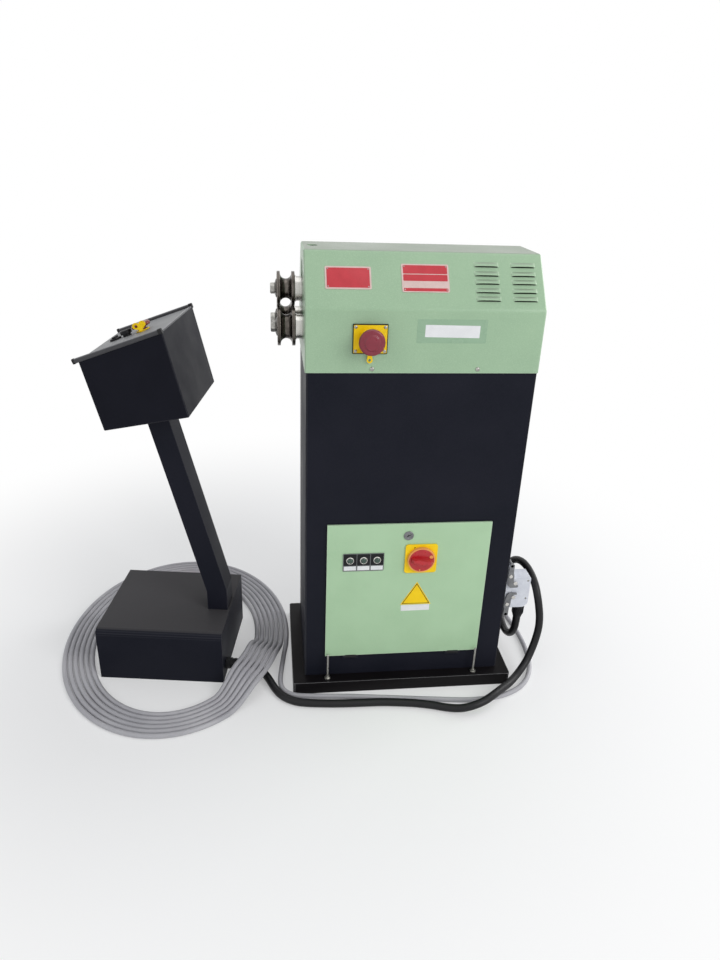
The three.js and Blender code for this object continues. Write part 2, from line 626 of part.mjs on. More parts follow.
function doorPin(x) {
  const [from, to] = around(x, hinge.length + 2 * gap);
  const lugY = [-sideY - gap - hinge.lugDepth, -sideY - gap];
  const lugZ = around(hingeZ, 2 * hinge.knuckle);
  return join(rod('x', [from - hinge.lug, to + hinge.lug], hinge.pin, [hingeY, hingeZ], 10),
    block([from - hinge.lug, from], lugY, lugZ), block([to, to + hinge.lug], lugY, lugZ));
}

function isolatorBody() {
  const back = doorFace - gap;
  const plate = prism('y', roundedRectangle(around(isolatorX, isolator.size),
    around(isolatorZ, isolator.size),
    isolator.corner), [back - isolator.thickness, back]);
  const body = block(around(isolatorX, 2 * isolator.bodyHalf), [back - overrun, back + isolator.bodyDepth],
    around(isolatorZ, 2 * isolator.bodyHalf));
  const bore = rod('y', [back - isolator.thickness - overrun, back + isolator.bodyDepth / 2],
    isolator.shaft + gap,
    [isolatorX, isolatorZ], 16);
  return cut(join(plate, body), bore);
}

function isolatorKnob() {
  const seat = doorFace - 2 * gap - isolator.thickness;
  const disc = rod('y', [seat - isolator.knobDisc, seat], 1, [0, 0], 32);
  disc.scale(isolator.knobLong, 1, isolator.knobShort);
  const grip = block([-isolator.gripHalf, isolator.gripHalf],
    [seat - isolator.knobDisc - isolator.gripHeight, seat - isolator.knobDisc + overrun],
    around(0, isolator.grip));
  const shaft = rod('y', [seat - overrun, doorFace + isolator.bodyDepth / 2 - overrun], isolator.shaft,
    [0, 0], 16);
  const turn = new THREE.Matrix4().makeRotationY(isolator.tiltAngle).setPosition(isolatorX, 0, isolatorZ);
  return join(...[disc, grip, shaft].map((piece) => piece.applyMatrix4(turn)));
}

function lampPlateShape() {
  const back = doorFace - gap;
  const z = isolatorZ - lampPlate.belowLamps;
  const plate = block([lampPlateX, lampPlateX + lampPlate.length], [back - lampPlate.thickness, back],
    [z, z + lampPlate.height]);
  return cut(plate, ...lampX.map((x) => rod('y', [back - lampPlate.thickness - overrun, back + overrun],
    lamps.body + gap, [x, isolatorZ], 16)));
}

function lampAt(x) {
  const seat = doorFace - 2 * gap - lampPlate.thickness;
  const face = seat - lamps.bezelHeight;
  const profile = [[seat + lamps.bodyDepth, 0], [seat + lamps.bodyDepth, lamps.body], [seat, lamps.body],
    [seat, lamps.bezel], [face, lamps.bezel], [face, lamps.lens], [face - lamps.lensHeight, lamps.lens / 2],
    [face - lamps.lensHeight, 0]];
  return turned('y', profile, [x, isolatorZ], 20);
}

function doorLock() {
  const front = doorFace - gap - lock.proud;
  const camBack = doorFace + lock.barrelDepth;
  const barrel = join(rod('y', [front, doorFace - gap], lock.flange, [lockX, lockZ], 24),
    rod('y', [doorFace - 2 * gap, camBack], lock.radius, [lockX, lockZ], 20));
  const cam = block([lockX - lock.camHalf, lockX + lock.camLength], [camBack - lock.camThickness, camBack],
    around(lockZ, 2 * lock.camHalf));
  return join(barrel, cam);
}

part('door', doorTray(), 'green');
part('door_pin_front', doorPin(knuckleX[0]), 'steel');
part('door_pin_rear', doorPin(knuckleX[1]), 'steel');
part('isolator_body', isolatorBody(), 'yellow');
part('isolator_knob', isolatorKnob(), 'red');
part('lamp_plate', lampPlateShape(), 'darkPlastic');
['front', 'middle', 'rear'].forEach((place, i) => part(`lamp_${place}`, lampAt(lampX[i]), 'steel'));
part('door_lock', doorLock(), 'steel');

// Switchgear on a rail at the far wall.
const switchgear = { fromFront: 70, railDepth: 7, railHeight: 35, aboveBase: 270, count: 4, width: 45,
  spacing: 52, depth: 48, height: 66 };

function switchgearShape() {
  const wallY = sideY - sheet - gap;
  const x = frontX + switchgear.fromFront;
  const middle = base.height + switchgear.aboveBase;
  const railEnd = x + switchgear.count * switchgear.spacing;
  const pieces = [block([x, railEnd], [wallY - switchgear.railDepth, wallY],
    around(middle, switchgear.railHeight))];
  for (let i = 0; i < switchgear.count; i += 1) {
    const from = x + (switchgear.spacing - switchgear.width) / 2 + i * switchgear.spacing;
    pieces.push(block([from, from + switchgear.width],
      [wallY - switchgear.railDepth - switchgear.depth, wallY - switchgear.railDepth + overrun],
      around(middle, switchgear.height)));
  }
  return join(...pieces);
}

part('switchgear', switchgearShape(), 'darkPlastic');

// Heavy connector on the rear wall: housing, hood with its cable gland, and two locking levers.
const plugBox = { fromNear: 48.5, halfWidth: 18.5, aboveBase: 131, flangeHeight: 125, flange: 4, reach: 25,
  bodyFoot: 6, bodyHeight: 102, hoodLength: 40, hoodFoot: 7, hoodHeight: 76, corner: 14, peg: 3,
  pegFromHousing: 4, pegSpacing: 36, pivotFromEnd: 18, pivotInset: 8 };
const lever = { plate: 3, clearance: 0.8, bar: 4, armLength: 30, armHalf: 5, barFrom: 26 };
const hookShares = { waist: 0.2, inner: 0.25, reach: 0.6, fingerTop: 0.78, fingerFoot: 0.94, heel: 0.05 };
const connectorY = -sideY + plugBox.fromNear;
const connectorZ = base.height + plugBox.aboveBase;
const housingFace = rearX + gap + plugBox.reach;
const pivotX = housingFace - plugBox.pivotInset;
const housingZ = [connectorZ + plugBox.bodyFoot, connectorZ + plugBox.bodyFoot + plugBox.bodyHeight];
const hoodZ = [connectorZ + plugBox.hoodFoot, connectorZ + plugBox.hoodFoot + plugBox.hoodHeight];
const pivotZ = [housingZ[0] + plugBox.pivotFromEnd - plugBox.bodyFoot, housingZ[1] - plugBox.pivotFromEnd];
const pegMiddle = (pivotZ[0] + pivotZ[1]) / 2;
const leverY = plugBox.halfWidth + lever.clearance + lever.plate;

function pegAt(x, z) {
  return rod('y', [connectorY - leverY, connectorY + leverY], plugBox.peg, [x, z], 12);
}

function connectorHousing() {
  const wall = rearX + gap;
  const flange = block([wall, wall + plugBox.flange], around(connectorY, 2 * plugBox.halfWidth + 2 * sheet),
    [connectorZ, connectorZ + plugBox.flangeHeight]);
  const body = block([wall, housingFace], around(connectorY, 2 * plugBox.halfWidth), housingZ);
  return join(flange, body, ...pivotZ.map((z) => pegAt(pivotX, z)));
}

function connectorHood() {
  const x = [housingFace + gap, housingFace + gap + plugBox.hoodLength];
  const corner = plugBox.corner;
  const outline = [[x[0], hoodZ[0]], ...arc(x[1] - corner, hoodZ[0] + corner, corner, -Math.PI / 2, 0, 4),
    [x[1], hoodZ[1]], [x[0], hoodZ[1]]];
  const body = prism('y', outline, around(connectorY, 2 * plugBox.halfWidth));
  const pegX = x[0] + plugBox.pegFromHousing;
  const pegs = [-1, 1].map((side) => pegAt(pegX, pegMiddle + side * plugBox.pegSpacing / 2));
  return join(body, ...pegs);
}

// One lever: two cheeks with a finger beyond the hood's peg, and a bar across. Side 1 is the upper one.
function connectorLever(side) {
  const z = side > 0 ? pivotZ[1] : pivotZ[0];
  const length = lever.armLength;
  const [waist, inner, reach, heel] = [hookShares.waist, hookShares.inner, hookShares.reach, hookShares.heel]
    .map((share) => share * length);
  const [fingerTop, fingerFoot] = [-length * hookShares.fingerTop, -length * hookShares.fingerFoot];
  const outline = [[-lever.armHalf, length], [lever.armHalf, length], [waist, 0], [inner, fingerTop],
    [reach, fingerTop], [reach, fingerFoot], [heel, fingerFoot], [-waist, 0]]
    .map(([u, v]) => [pivotX + u, z + side * v]);
  const near = connectorY - leverY;
  const far = connectorY + leverY - lever.plate;
  const hole = rod('y', [near - overrun, far + lever.plate + overrun], plugBox.peg + gap, [pivotX, z], 12);
  const cheeks = [near, far].map((y) => cut(prism('y', outline, [y, y + lever.plate]), hole));
  return join(...cheeks, rod('y', [near, far + lever.plate], lever.bar, [pivotX, z + side * lever.barFrom],
    12));
}

part('connector_housing', connectorHousing(), 'aluminium');
part('connector_hood', connectorHood(), 'aluminium');
part('connector_lever_upper', connectorLever(1), 'steel');
part('connector_lever_lower', connectorLever(-1), 'steel');

// Glands. A gland's profile runs from its seat to its mouth.
const plugGland = { collar: 13.5, collarLength: 9, body: 12, bodyLength: 18, mouth: 10, taper: 9,
  fromHoodEnd: 12.6 };
const glandX = housingFace + gap + plugBox.hoodLength - plugGland.fromHoodEnd;

function connectorGland() {
  const seat = hoodZ[0] - gap;
  const body = seat - plugGland.collarLength;
  const taper = body - plugGland.bodyLength;
  return turned('z', [[taper - plugGland.taper, 0], [taper - plugGland.taper, plugGland.mouth],
    [taper, plugGland.body], [body, plugGland.body], [body, plugGland.collar], [seat, plugGland.collar],
    [seat, 0]], [glandX, connectorY], 20);
}

function supplyGlandShape() {
  const inside = sideY - sheet - gap;
  const outside = sideY + gap;
  const hexEnd = outside + supplyGland.hexLength;
  return join(
    rod('y', [inside - supplyGland.nutThickness, inside], supplyGland.nut, [supplyX, supplyZ], 6),
    rod('y', [inside - overrun, outside + overrun], supplyGland.thread, [supplyX, supplyZ], 20),
    turned('y', [[outside, 0], [outside, supplyGland.hex], [hexEnd, supplyGland.hex],
      [hexEnd + supplyGland.domeLength, supplyGland.mouth], [hexEnd + supplyGland.domeLength, 0]],
    [supplyX, supplyZ], 20),
  );
}

part('connector_gland', connectorGland(), 'darkPlastic');
part('supply_gland', supplyGlandShape(), 'darkPlastic');

// Foot console, in its own turned group: a folded foot, a leaning column and a sloping desk.
const consolePlace = { x: -661.75, y: -64, turnAngle: -0.141 };
const foot = { length: 272, depth: 243, height: 127, bend: 14 };
const column = { fromRight: 4.2, width: 45, depth: 56, stub: 52, leanAngle: 0.242, fromNear: 94 };
const desk = { nearInset: 9, farInset: 8, lowX: 37.5, lowZ: 716, run: 157.5, rise: 60, footLowX: 70,
  footLowZ: 582, footRun: 163, footRise: 34, lipHeight: 6, lipWidth: 7, lipDrop: 3,
  lipsPast: [9, 1], cableHole: 12 };
const controls = { fromNear: 113, selector: 35.5, button: 60.5, stop: 94, head: 11.5, selectorHeight: 4,
  buttonHeight: 12, stem: 8, depth: 30, handleWidth: 6, handleHeight: 3, travel: 4,
  stopHead: 18.5, stopReach: 16, stopHeadHeight: 9, stopNeck: 10, stopRim: 2, stopDome: 2 };
const stopTab = { thickness: 2, ring: 13.5, bore: 10.4, bend: 21, height: 20, halfWidth: 13, corner: 6,
  hole: 3, holeInset: 7, turnAngle: 0.2 };
const footGland = { fromNear: 34, height: 28, thread: 9, hex: 13, hexLength: 9, mouth: 10, domeLength: 16,
  nut: 12, nutThickness: 4 };
const consoleGroup = new THREE.Group();
consoleGroup.position.set(consolePlace.x, consolePlace.y, 0);
consoleGroup.rotation.z = consolePlace.turnAngle;
model.add(consoleGroup);
const deskY = [desk.nearInset, foot.depth - desk.farInset];
const panelAngle = Math.atan2(desk.rise, desk.run);
const panelFrame = new THREE.Matrix4().makeBasis(
  new THREE.Vector3(Math.cos(panelAngle), 0, Math.sin(panelAngle)),
  new THREE.Vector3(-Math.sin(panelAngle), 0, Math.cos(panelAngle)),
  new THREE.Vector3(0, -1, 0),
).setPosition(desk.lowX, desk.nearInset + controls.fromNear, desk.lowZ);

function footSection(inset, low) {
  const bend = foot.bend - inset;
  return [[inset, low], [foot.depth - inset, low], [foot.depth - inset, foot.height - inset],
    ...arc(inset + bend, foot.height - inset - bend, bend, Math.PI / 2, Math.PI, 4)];
}

function consoleBase() {
  const outer = prism('x', footSection(0, 0), [0, foot.length]);
  const inner = prism('x', footSection(sheet, -overrun), [sheet, foot.length - sheet]);
  const glandHole = rod('x', [foot.length - sheet - overrun, foot.length + overrun], footGland.thread + gap,
    [footGland.fromNear, footGland.height], 20);
  const columnMiddle = [foot.length - column.fromRight - column.width / 2,
    column.fromNear + column.depth / 2];
  const cableHole = rod('z', [foot.height - sheet - overrun, foot.height + overrun], desk.cableHole,
    columnMiddle, 16);
  return cut(outer, inner, glandHole, cableHole);
}

// The column's side outline, drawn in by an inset for its bore.
function columnOutline(inset, past) {
  const right = foot.length - column.fromRight - inset;
  const left = foot.length - column.fromRight - column.width + inset;
  const low = foot.height + gap - past;
  const knee = low + past + column.stub;
  const slope = Math.tan(column.leanAngle);
  const wide = (column.width - 2 * inset) / Math.cos(column.leanAngle) - (column.width - 2 * inset);
  const leftKnee = knee - wide / slope;
  const under = (x) => desk.footLowZ + (x - desk.footLowX) * desk.footRise / desk.footRun - gap * 2 + past;
  const topOf = (x, z) => {
    const climb = (under(x) - z) / (1 + slope * desk.footRise / desk.footRun);
    return [x - slope * climb, z + climb];
  };
  return [[left, low], [right, low], [right, knee], topOf(right, knee), topOf(left, leftKnee),
    [left, leftKnee]];
}

function consoleColumn() {
  const y = [column.fromNear, column.fromNear + column.depth];
  return cut(prism('y', columnOutline(0, 0), y),
    prism('y', columnOutline(sheet, overrun), [y[0] + sheet, y[1] - sheet]));
}

function deskOutline(inset) {
  const corners = [[desk.footLowX, desk.footLowZ], [desk.footLowX + desk.footRun,
    desk.footLowZ + desk.footRise],
    [desk.lowX + desk.run, desk.lowZ + desk.rise], [desk.lowX, desk.lowZ]];
  return corners.map(([x, z], i) => {
    const before = corners[(i + 3) % 4];
    const after = corners[(i + 1) % 4];
    const into = new THREE.Vector2(x - before[0], z - before[1]).normalize();
    const out = new THREE.Vector2(after[0] - x, after[1] - z).normalize();
    const share = inset / (into.x * out.y - into.y * out.x);
    return [x + share * (out.x - into.x), z + share * (out.y - into.y)];
  });
}

function onPanel(geometry) {
  return geometry.applyMatrix4(panelFrame);
}

function consoleDesk() {
  const shell = cut(prism('y', deskOutline(0), deskY),
    prism('y', deskOutline(sheet), [deskY[0] + sheet, deskY[1] - sheet]));
  const length = Math.hypot(desk.run, desk.rise);
  const lips = [deskY[0] - desk.lipDrop, deskY[1] + desk.lipDrop - desk.lipWidth].map((y, i) => {
    const local = desk.nearInset + controls.fromNear - y;
    return onPanel(block([-desk.lipsPast[i], length], [-desk.lipDrop, desk.lipHeight],
      [local - desk.lipWidth, local]));
  });
  const holes = [[controls.selector, controls.stem], [controls.button, controls.stem],
    [controls.stop, controls.stem]]
    .map(([along, radius]) => onPanel(rod('y', [-sheet - overrun, overrun], radius + gap, [along, 0], 16)));
  const middleX = foot.length - column.fromRight - column.width / 2
    - Math.tan(column.leanAngle) * (desk.footLowZ - foot.height - column.stub);
  const cable = rod('z', [desk.footLowZ, (desk.footLowZ + desk.lowZ) / 2], desk.cableHole,
    [middleX, column.fromNear + column.depth / 2], 16);
  return cut(join(shell, ...lips), ...holes, cable);
}

function switchHead(along, height) {
  return [rod('y', [gap, height], controls.head, [along, 0], 24),
    rod('y', [-controls.depth, gap + overrun], controls.stem, [along, 0], 16)];
}

function consoleSelector() {
  const handle = block(around(controls.selector, controls.handleWidth),
    [controls.selectorHeight - gap, controls.selectorHeight + controls.handleHeight],
    around(0, 2 * controls.head - sheet));
  return join(...switchHead(controls.selector, controls.selectorHeight).map(onPanel), onPanel(handle));
}

function consoleButton() {
  const seat = controls.travel + gap;
  const head = turned('y', [[-controls.depth, 0], [-controls.depth, controls.stem], [seat, controls.stem],
    [seat, controls.head], [controls.buttonHeight - sheet, controls.head],
    [controls.buttonHeight, controls.head - sheet], [controls.buttonHeight, 0]], [controls.button, 0], 24);
  return onPanel(head);
}

function consoleStop() {
  const back = controls.stopReach - controls.stopHeadHeight;
  const head = turned('y', [[-controls.depth, 0], [-controls.depth, controls.stem],
    [back - controls.stopRim, controls.stem], [back, controls.stopNeck],
    [back + controls.stopRim / 2, controls.stopHead],
    [controls.stopReach - controls.stopDome, controls.stopHead], [controls.stopReach, controls.stopNeck],
    [controls.stopReach, 0]], [controls.stop, 0], 24);
  return onPanel(head);
}

// The padlock tab: a ring under the console's stop button, bent up at its near side.
function consoleStopTab() {
  const flat = [gap, gap + stopTab.thickness];
  const wide = around(0, 2 * stopTab.halfWidth);
  const strip = block(wide, flat, [0, stopTab.bend]);
  const ring = rod('y', flat, stopTab.ring, [0, 0], 24);
  const stand = prism('z', roundedRectangle(wide, [gap, stopTab.height], stopTab.corner),
    [stopTab.bend - stopTab.thickness, stopTab.bend]);
  const bore = rod('y', [flat[0] - overrun, flat[1] + overrun], stopTab.bore, [0, 0], 20);
  const eye = rod('z', [stopTab.bend - stopTab.thickness - overrun, stopTab.bend + overrun], stopTab.hole,
    [stopTab.holeInset - stopTab.halfWidth, stopTab.height - stopTab.holeInset], 12);
  const turn = new THREE.Matrix4().makeRotationY(stopTab.turnAngle).setPosition(controls.stop, 0, 0);
  const pieces = [strip, ring, stand, bore, eye].map((piece) => onPanel(piece.applyMatrix4(turn)));
  return cut(join(...pieces.slice(0, 3)), ...pieces.slice(3));
}

function consoleGland() {
  const outside = foot.length + gap;
  const inside = foot.length - sheet - gap;
  const at = [footGland.fromNear, footGland.height];
  const hexEnd = outside + footGland.hexLength;
  return join(rod('x', [inside - footGland.nutThickness, inside], footGland.nut, at, 6),
    rod('x', [inside - overrun, outside + overrun], footGland.thread, at, 20),
    turned('x', [[outside, 0], [outside, footGland.hex], [hexEnd, footGland.hex],
      [hexEnd + footGland.domeLength, footGland.mouth], [hexEnd + footGland.domeLength, 0]], at, 20));
}

part('console_base', consoleBase(), 'black', consoleGroup);
part('console_column', consoleColumn(), 'black', consoleGroup);
part('console_desk', consoleDesk(), 'black', consoleGroup);
part('console_selector', consoleSelector(), 'darkPlastic', consoleGroup);
part('console_button', consoleButton(), 'darkPlastic', consoleGroup);
part('console_stop', consoleStop(), 'red', consoleGroup);
part('console_stop_tab', consoleStopTab(), 'yellow', consoleGroup);
part('console_gland', consoleGland(), 'darkPlastic', consoleGroup);

// Cables. Their routes are chosen points on the floor and in the air beside the connector.
const controlCable = { radius: 8.5, sides: 10, steps: 64 };
const supplyCable = { radius: 5.5, sides: 8, steps: 56 };
const controlRoute = [
  [268, -76.2, 118], [268, -73.1, 96.4], [268, -63.1, 76.9], [268, -47.6, 61.4], [268, -28.1, 51.4],
  [268, -6.5, 48], [268.5, 15.1, 51.4], [269, 34.6, 61.4], [270.5, 50.1, 76.9], [272, 59.8, 97],
  [274, 63.3, 118], [276, 63, 138], [278, 61, 158], [281, 54.5, 182], [285, 39, 206], [290, 15, 221.5],
  [295, -13, 227], [300, -41.7, 221.3], [304.5, -66, 205], [308.5, -82, 181], [312.5, -89, 157],
  [316, -92, 133],
  [316.5, -94.5, 109], [313, -98, 85], [305, -105, 61], [289.5, -119, 36], [266, -139.5, 20],
  [238, -167, 17.5], [208, -194, 22], [180, -217, 24.5], [165.5, -226.4, 24], [149.5, -232.8, 22],
  [132.6, -235.9, 18.7], [115.3, -235.4, 14.5], [98.6, -231.5, 11.3], [76, -223.8, 9.2], [52, -215.5, 8.8],
  [15, -207, 8.8], [-20, -202, 8.8], [-56, -198.5, 8.8],
  [-95, -197.5, 8.8], [-143, -196, 8.8], [-185, -192.5, 8.8], [-216.4, -188.3, 8.8],
  [-231.8, -184.6, 8.8], [-246.3, -178, 8.8], [-259, -168.7, 8.8], [-269.8, -157, 8.8], [-278, -143.4, 8.8],
  [-284.5, -129.8, 9.2], [-294.6, -108.8, 12], [-305.7, -94.3, 17.9],
  [-325.6, -80.4, 25.8],
];
const supplyRoute = [
  [180, 172, 69.5], [181, 193, 65], [185, 214, 54], [193, 232, 40], [206, 246, 26], [224, 254, 14.5],
  [244, 256, 8], [263, 250, 5.8], [279, 237, 5.6], [291, 217, 5.6], [299, 190, 5.6], [303.5, 157, 5.6],
  [307, 122, 5.6], [311.5, 85, 5.6], [316, 50, 5.6], [318.5, 15, 5.6], [318.5, -22, 5.6], [315, -60, 5.6],
  [306, -103, 5.6], [288, -141, 5.6], [264, -168, 5.6], [235, -186, 5.6], [206, -196, 5.6], [172, -201, 5.6],
  [135, -202, 5.6], [95, -198.5, 5.6], [57, -194, 5.6], [15, -189, 5.6], [-25, -184, 5.6],
  [-70, -178.5, 5.6],
  [-120, -172.5, 5.6], [-160, -169, 5.6], [-195, -166, 5.6], [-222, -163, 5.6], [-239.6, -159.3, 5.6],
  [-254.5, -149.5, 5.6], [-264.5, -134.6, 5.6], [-268, -117, 5.6], [-267.5, -95, 5.6], [-265, -70, 5.6],
  [-261.5, -42, 5.6], [-258.5, -18, 5.6],
];

function tubeAlong(points, { radius, sides, steps }) {
  const path = new THREE.CatmullRomCurve3(points, false, 'centripetal');
  const section = new THREE.Shape(arc(0, 0, radius, 0, 2 * Math.PI * (1 - 1 / sides), sides - 1)
    .map(([u, v]) => new THREE.Vector2(u, v)));
  return new THREE.ExtrudeGeometry(section, { steps, bevelEnabled: false, extrudePath: path });
}

// The supply coil: an inward spiral of loops round the console, each humped over the control cable.
const coil = { x: -508, y: 66, halfLength: 332, halfWidth: 257, pitch: 11.8, loops: 6, startAngle: -0.12,
  radius: 5.5, rest: 5.6, tailWidth: 115, tailLength: 196, tailRise: 22.3, tailRiseLength: 110,
  firstHump: 28.5, humpGrowth: 2.8, humpFlat: 40, humpRamp: 110, humpAngle: -0.545,
  loopSteps: 24, sides: 6 };
const fullTurn = 2 * Math.PI;

function humpAt(angle) {
  const count = Math.round((angle - coil.humpAngle) / fullTurn);
  if (count < 1 || count > coil.loops) return 0;
  const middle = count * fullTurn + coil.humpAngle;
  const speed = Math.hypot(coil.halfWidth * Math.sin(middle), coil.halfLength * Math.cos(middle));
  const along = Math.max(0, Math.abs(angle - middle) * speed - coil.humpFlat) / coil.humpRamp;
  const height = coil.firstHump + (count - 1) * coil.humpGrowth;
  return along < 1 ? height * Math.cos(along * Math.PI / 2) ** 2 : 0;
}

function coilPoint(angle) {
  const end = coil.loops * fullTurn;
  const drawnIn = coil.pitch * Math.min(angle, end) / fullTurn;
  const [width, length] = [coil.halfWidth - drawnIn, coil.halfLength - drawnIn];
  if (angle <= end) {
    return new THREE.Vector3(coil.x + width * Math.cos(angle), coil.y + length * Math.sin(angle),
      coil.rest + humpAt(angle));
  }
  const left = (coil.loops + 1 / 4) * fullTurn - angle;
  const along = 1 - Math.min(1, left * coil.tailWidth / coil.tailRiseLength);
  const rise = coil.tailRise * (3 - 2 * along) * along ** 2;
  return new THREE.Vector3(coil.x + width - coil.tailWidth * (1 - Math.cos(angle)),
    coil.y + coil.tailLength * Math.sin(angle), coil.rest + rise);
}

function coilLine(stepsPerLoop) {
  const first = coil.startAngle;
  const last = (coil.loops + 1 / 4) * fullTurn;
  const count = Math.round((last - first) / fullTurn * stepsPerLoop);
  const points = [];
  for (let i = 0; i <= count; i += 1) points.push(coilPoint(first + (last - first) * i / count));
  const lead = 2 * coil.radius;
  const into = points[1].clone().sub(points[0]).setLength(lead);
  points.unshift(points[0].clone().sub(into));
  points.push(points[points.length - 1].clone().add(new THREE.Vector3(-lead, 0, 0)));
  return points;
}

function woundTube(points) {
  const vertices = [];
  const index = [];
  const { sides } = coil;
  points.forEach((point, i) => {
    const before = points[Math.max(i - 1, 0)];
    const after = points[Math.min(i + 1, points.length - 1)];
    const ahead = after.clone().sub(before).normalize();
    const side = ahead.clone().cross(unitZ).normalize();
    const up = side.clone().cross(ahead);
    for (const [u, v] of arc(0, 0, coil.radius, 0, fullTurn * (1 - 1 / sides), sides - 1)) {
      const corner = point.clone().addScaledVector(side, u).addScaledVector(up, v);
      vertices.push(corner.x, corner.y, corner.z);
    }
  });
  const last = (points.length - 1) * sides;
  for (let ringStart = 0; ringStart < last; ringStart += sides) {
    for (let j = 0; j < sides; j += 1) {
      const [p, q] = [ringStart + j, ringStart + (j + 1) % sides];
      index.push(p, q, p + sides, q, q + sides, p + sides);
    }
  }
  for (let j = 1; j < sides - 1; j += 1) index.push(0, j + 1, j, last, last + j, last + j + 1);
  const geometry = new THREE.BufferGeometry();
  geometry.setAttribute('position', new THREE.Float32BufferAttribute(vertices, 3));
  geometry.setIndex(index);
  return geometry;
}

function leastSelfGap(points, neighbours) {
  let least = Infinity;
  for (let i = 0; i < points.length; i += 1) {
    for (let j = i + neighbours; j < points.length; j += 1) {
      least = Math.min(least, points[i].distanceTo(points[j]) - 2 * coil.radius);
    }
  }
  return least;
}

const coilPoints = coilLine(coil.loopSteps);
const coilStart = coilPoints[0];
const coilEnd = coilPoints[coilPoints.length - 1];
console.log('least gap between the coil\'s loops, mm:',
  leastSelfGap(coilLine(8 * coil.loopSteps), 4 * coil.loopSteps).toFixed(2));

function controlCableShape() {
  const mouth = hoodZ[0] - gap - plugGland.collarLength - plugGland.bodyLength - plugGland.taper - gap;
  const glandEnd = new THREE.Vector3(foot.length + 2 * gap + footGland.hexLength + footGland.domeLength,
    footGland.fromNear, footGland.height);
  const out = glandEnd.clone().add(new THREE.Vector3(2 * controlCable.radius, 0, 0));
  consoleGroup.updateMatrix();
  const points = [new THREE.Vector3(glandX, connectorY, mouth),
    ...controlRoute.map((place) => new THREE.Vector3(...place)),
    out.applyMatrix4(consoleGroup.matrix), glandEnd.applyMatrix4(consoleGroup.matrix)];
  return tubeAlong(points, controlCable);
}

function supplyCableShape() {
  const mouthY = sideY + 2 * gap + supplyGland.hexLength + supplyGland.domeLength;
  const into = coilPoints[1].clone().sub(coilStart).normalize();
  const points = [new THREE.Vector3(supplyX, mouthY, supplyZ),
    ...supplyRoute.map((place) => new THREE.Vector3(...place)),
    coilStart.clone().addScaledVector(into, -2 * supplyCable.radius - gap),
    coilStart.clone().addScaledVector(into, -gap)];
  return tubeAlong(points, supplyCable);
}

// The industrial plug on the coil's inner end, lying behind the console's foot.
const supplyPlug = { sleeve: 9, sleeveLength: 24, neck: 13, cap: 24, capLength: 34, body: 27, bodyLength: 44,
  skirt: 25, skirtLength: 26, bore: 20, boreDepth: 30 };

function supplyPlugShape() {
  const back = coilEnd.x - gap;
  const capStart = back - supplyPlug.sleeveLength;
  const bodyStart = capStart - supplyPlug.capLength;
  const skirtStart = bodyStart - supplyPlug.bodyLength;
  const face = skirtStart - supplyPlug.skirtLength;
  const floor = face + supplyPlug.boreDepth;
  const centre = [coilEnd.y, coilEnd.z];
  return turned('x', [[floor, 0], [floor, supplyPlug.bore], [face, supplyPlug.bore],
    [face, supplyPlug.skirt],
    [skirtStart, supplyPlug.skirt], [skirtStart, supplyPlug.body], [bodyStart, supplyPlug.body],
    [bodyStart, supplyPlug.cap], [capStart, supplyPlug.neck], [back, supplyPlug.sleeve], [back, 0]], centre,
    24);
}

part('control_cable', controlCableShape(), 'blackCable');
part('supply_cable', supplyCableShape(), 'greyCable');
part('supply_coil', woundTube(coilPoints), 'greyCable');
part('supply_plug', supplyPlugShape(), 'red');

export default model;
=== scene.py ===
import math
import bpy
import bmesh
from mathutils import Matrix, Vector


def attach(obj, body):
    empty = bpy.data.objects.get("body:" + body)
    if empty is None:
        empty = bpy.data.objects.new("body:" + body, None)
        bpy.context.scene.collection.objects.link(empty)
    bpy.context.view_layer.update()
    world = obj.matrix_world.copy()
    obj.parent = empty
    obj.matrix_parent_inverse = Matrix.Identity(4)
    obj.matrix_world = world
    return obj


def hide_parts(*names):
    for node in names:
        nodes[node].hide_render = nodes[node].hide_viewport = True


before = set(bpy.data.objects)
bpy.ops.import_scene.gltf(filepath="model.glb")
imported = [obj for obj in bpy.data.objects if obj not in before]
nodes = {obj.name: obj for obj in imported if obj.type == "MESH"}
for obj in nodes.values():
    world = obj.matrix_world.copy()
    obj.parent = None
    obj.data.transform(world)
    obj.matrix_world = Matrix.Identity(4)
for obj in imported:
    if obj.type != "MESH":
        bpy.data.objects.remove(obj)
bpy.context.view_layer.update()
print("frame loaded:", len(nodes), "nodes")

# The camera stands where the photo was taken from.
camera = {"lens": 26.97, "sensor": 36, "place": (-0.274, -1.377, 1.086), "pitch": 24.90, "yaw": 7.48,
    "roll": 2.22}


def linked(name, data):
    made = bpy.data.objects.new(name, data)
    bpy.context.scene.collection.objects.link(made)
    return made


def makeCamera():
    data = bpy.data.cameras.new("photoCamera")
    data.lens, data.sensor_width = camera["lens"], camera["sensor"]
    eye = linked("photoCamera", data)
    yaw, pitch, roll = (math.radians(camera[k]) for k in ("yaw", "pitch", "roll"))
    turns = [Matrix.Rotation(-yaw, 4, "Z"), Matrix.Rotation(math.pi / 2 - pitch, 4, "X"),
        Matrix.Rotation(roll, 4, "Z")]
    eye.matrix_world = Matrix.Translation(camera["place"]) @ (turns[0] @ turns[1] @ turns[2])
    bpy.context.scene.camera = eye


makeCamera()
print("camera placed")


# Shape helpers. A place is a matrix whose third axis is the direction that a shape is pushed or
# turned along.
def axes(origin, u, v, w):
    rows = [(u[i], v[i], w[i], origin[i]) for i in range(3)]
    return Matrix((*rows, (0, 0, 0, 1)))


def spun(place, angle):
    return place @ Matrix.Rotation(angle, 4, "Z")


def shifted(place, *by):
    return place @ Matrix.Translation(by)


def onSide(x, y, z):  # faces -Y, towards the door side
    return axes((x, y, z), (1, 0, 0), (0, 0, 1), (0, -1, 0))


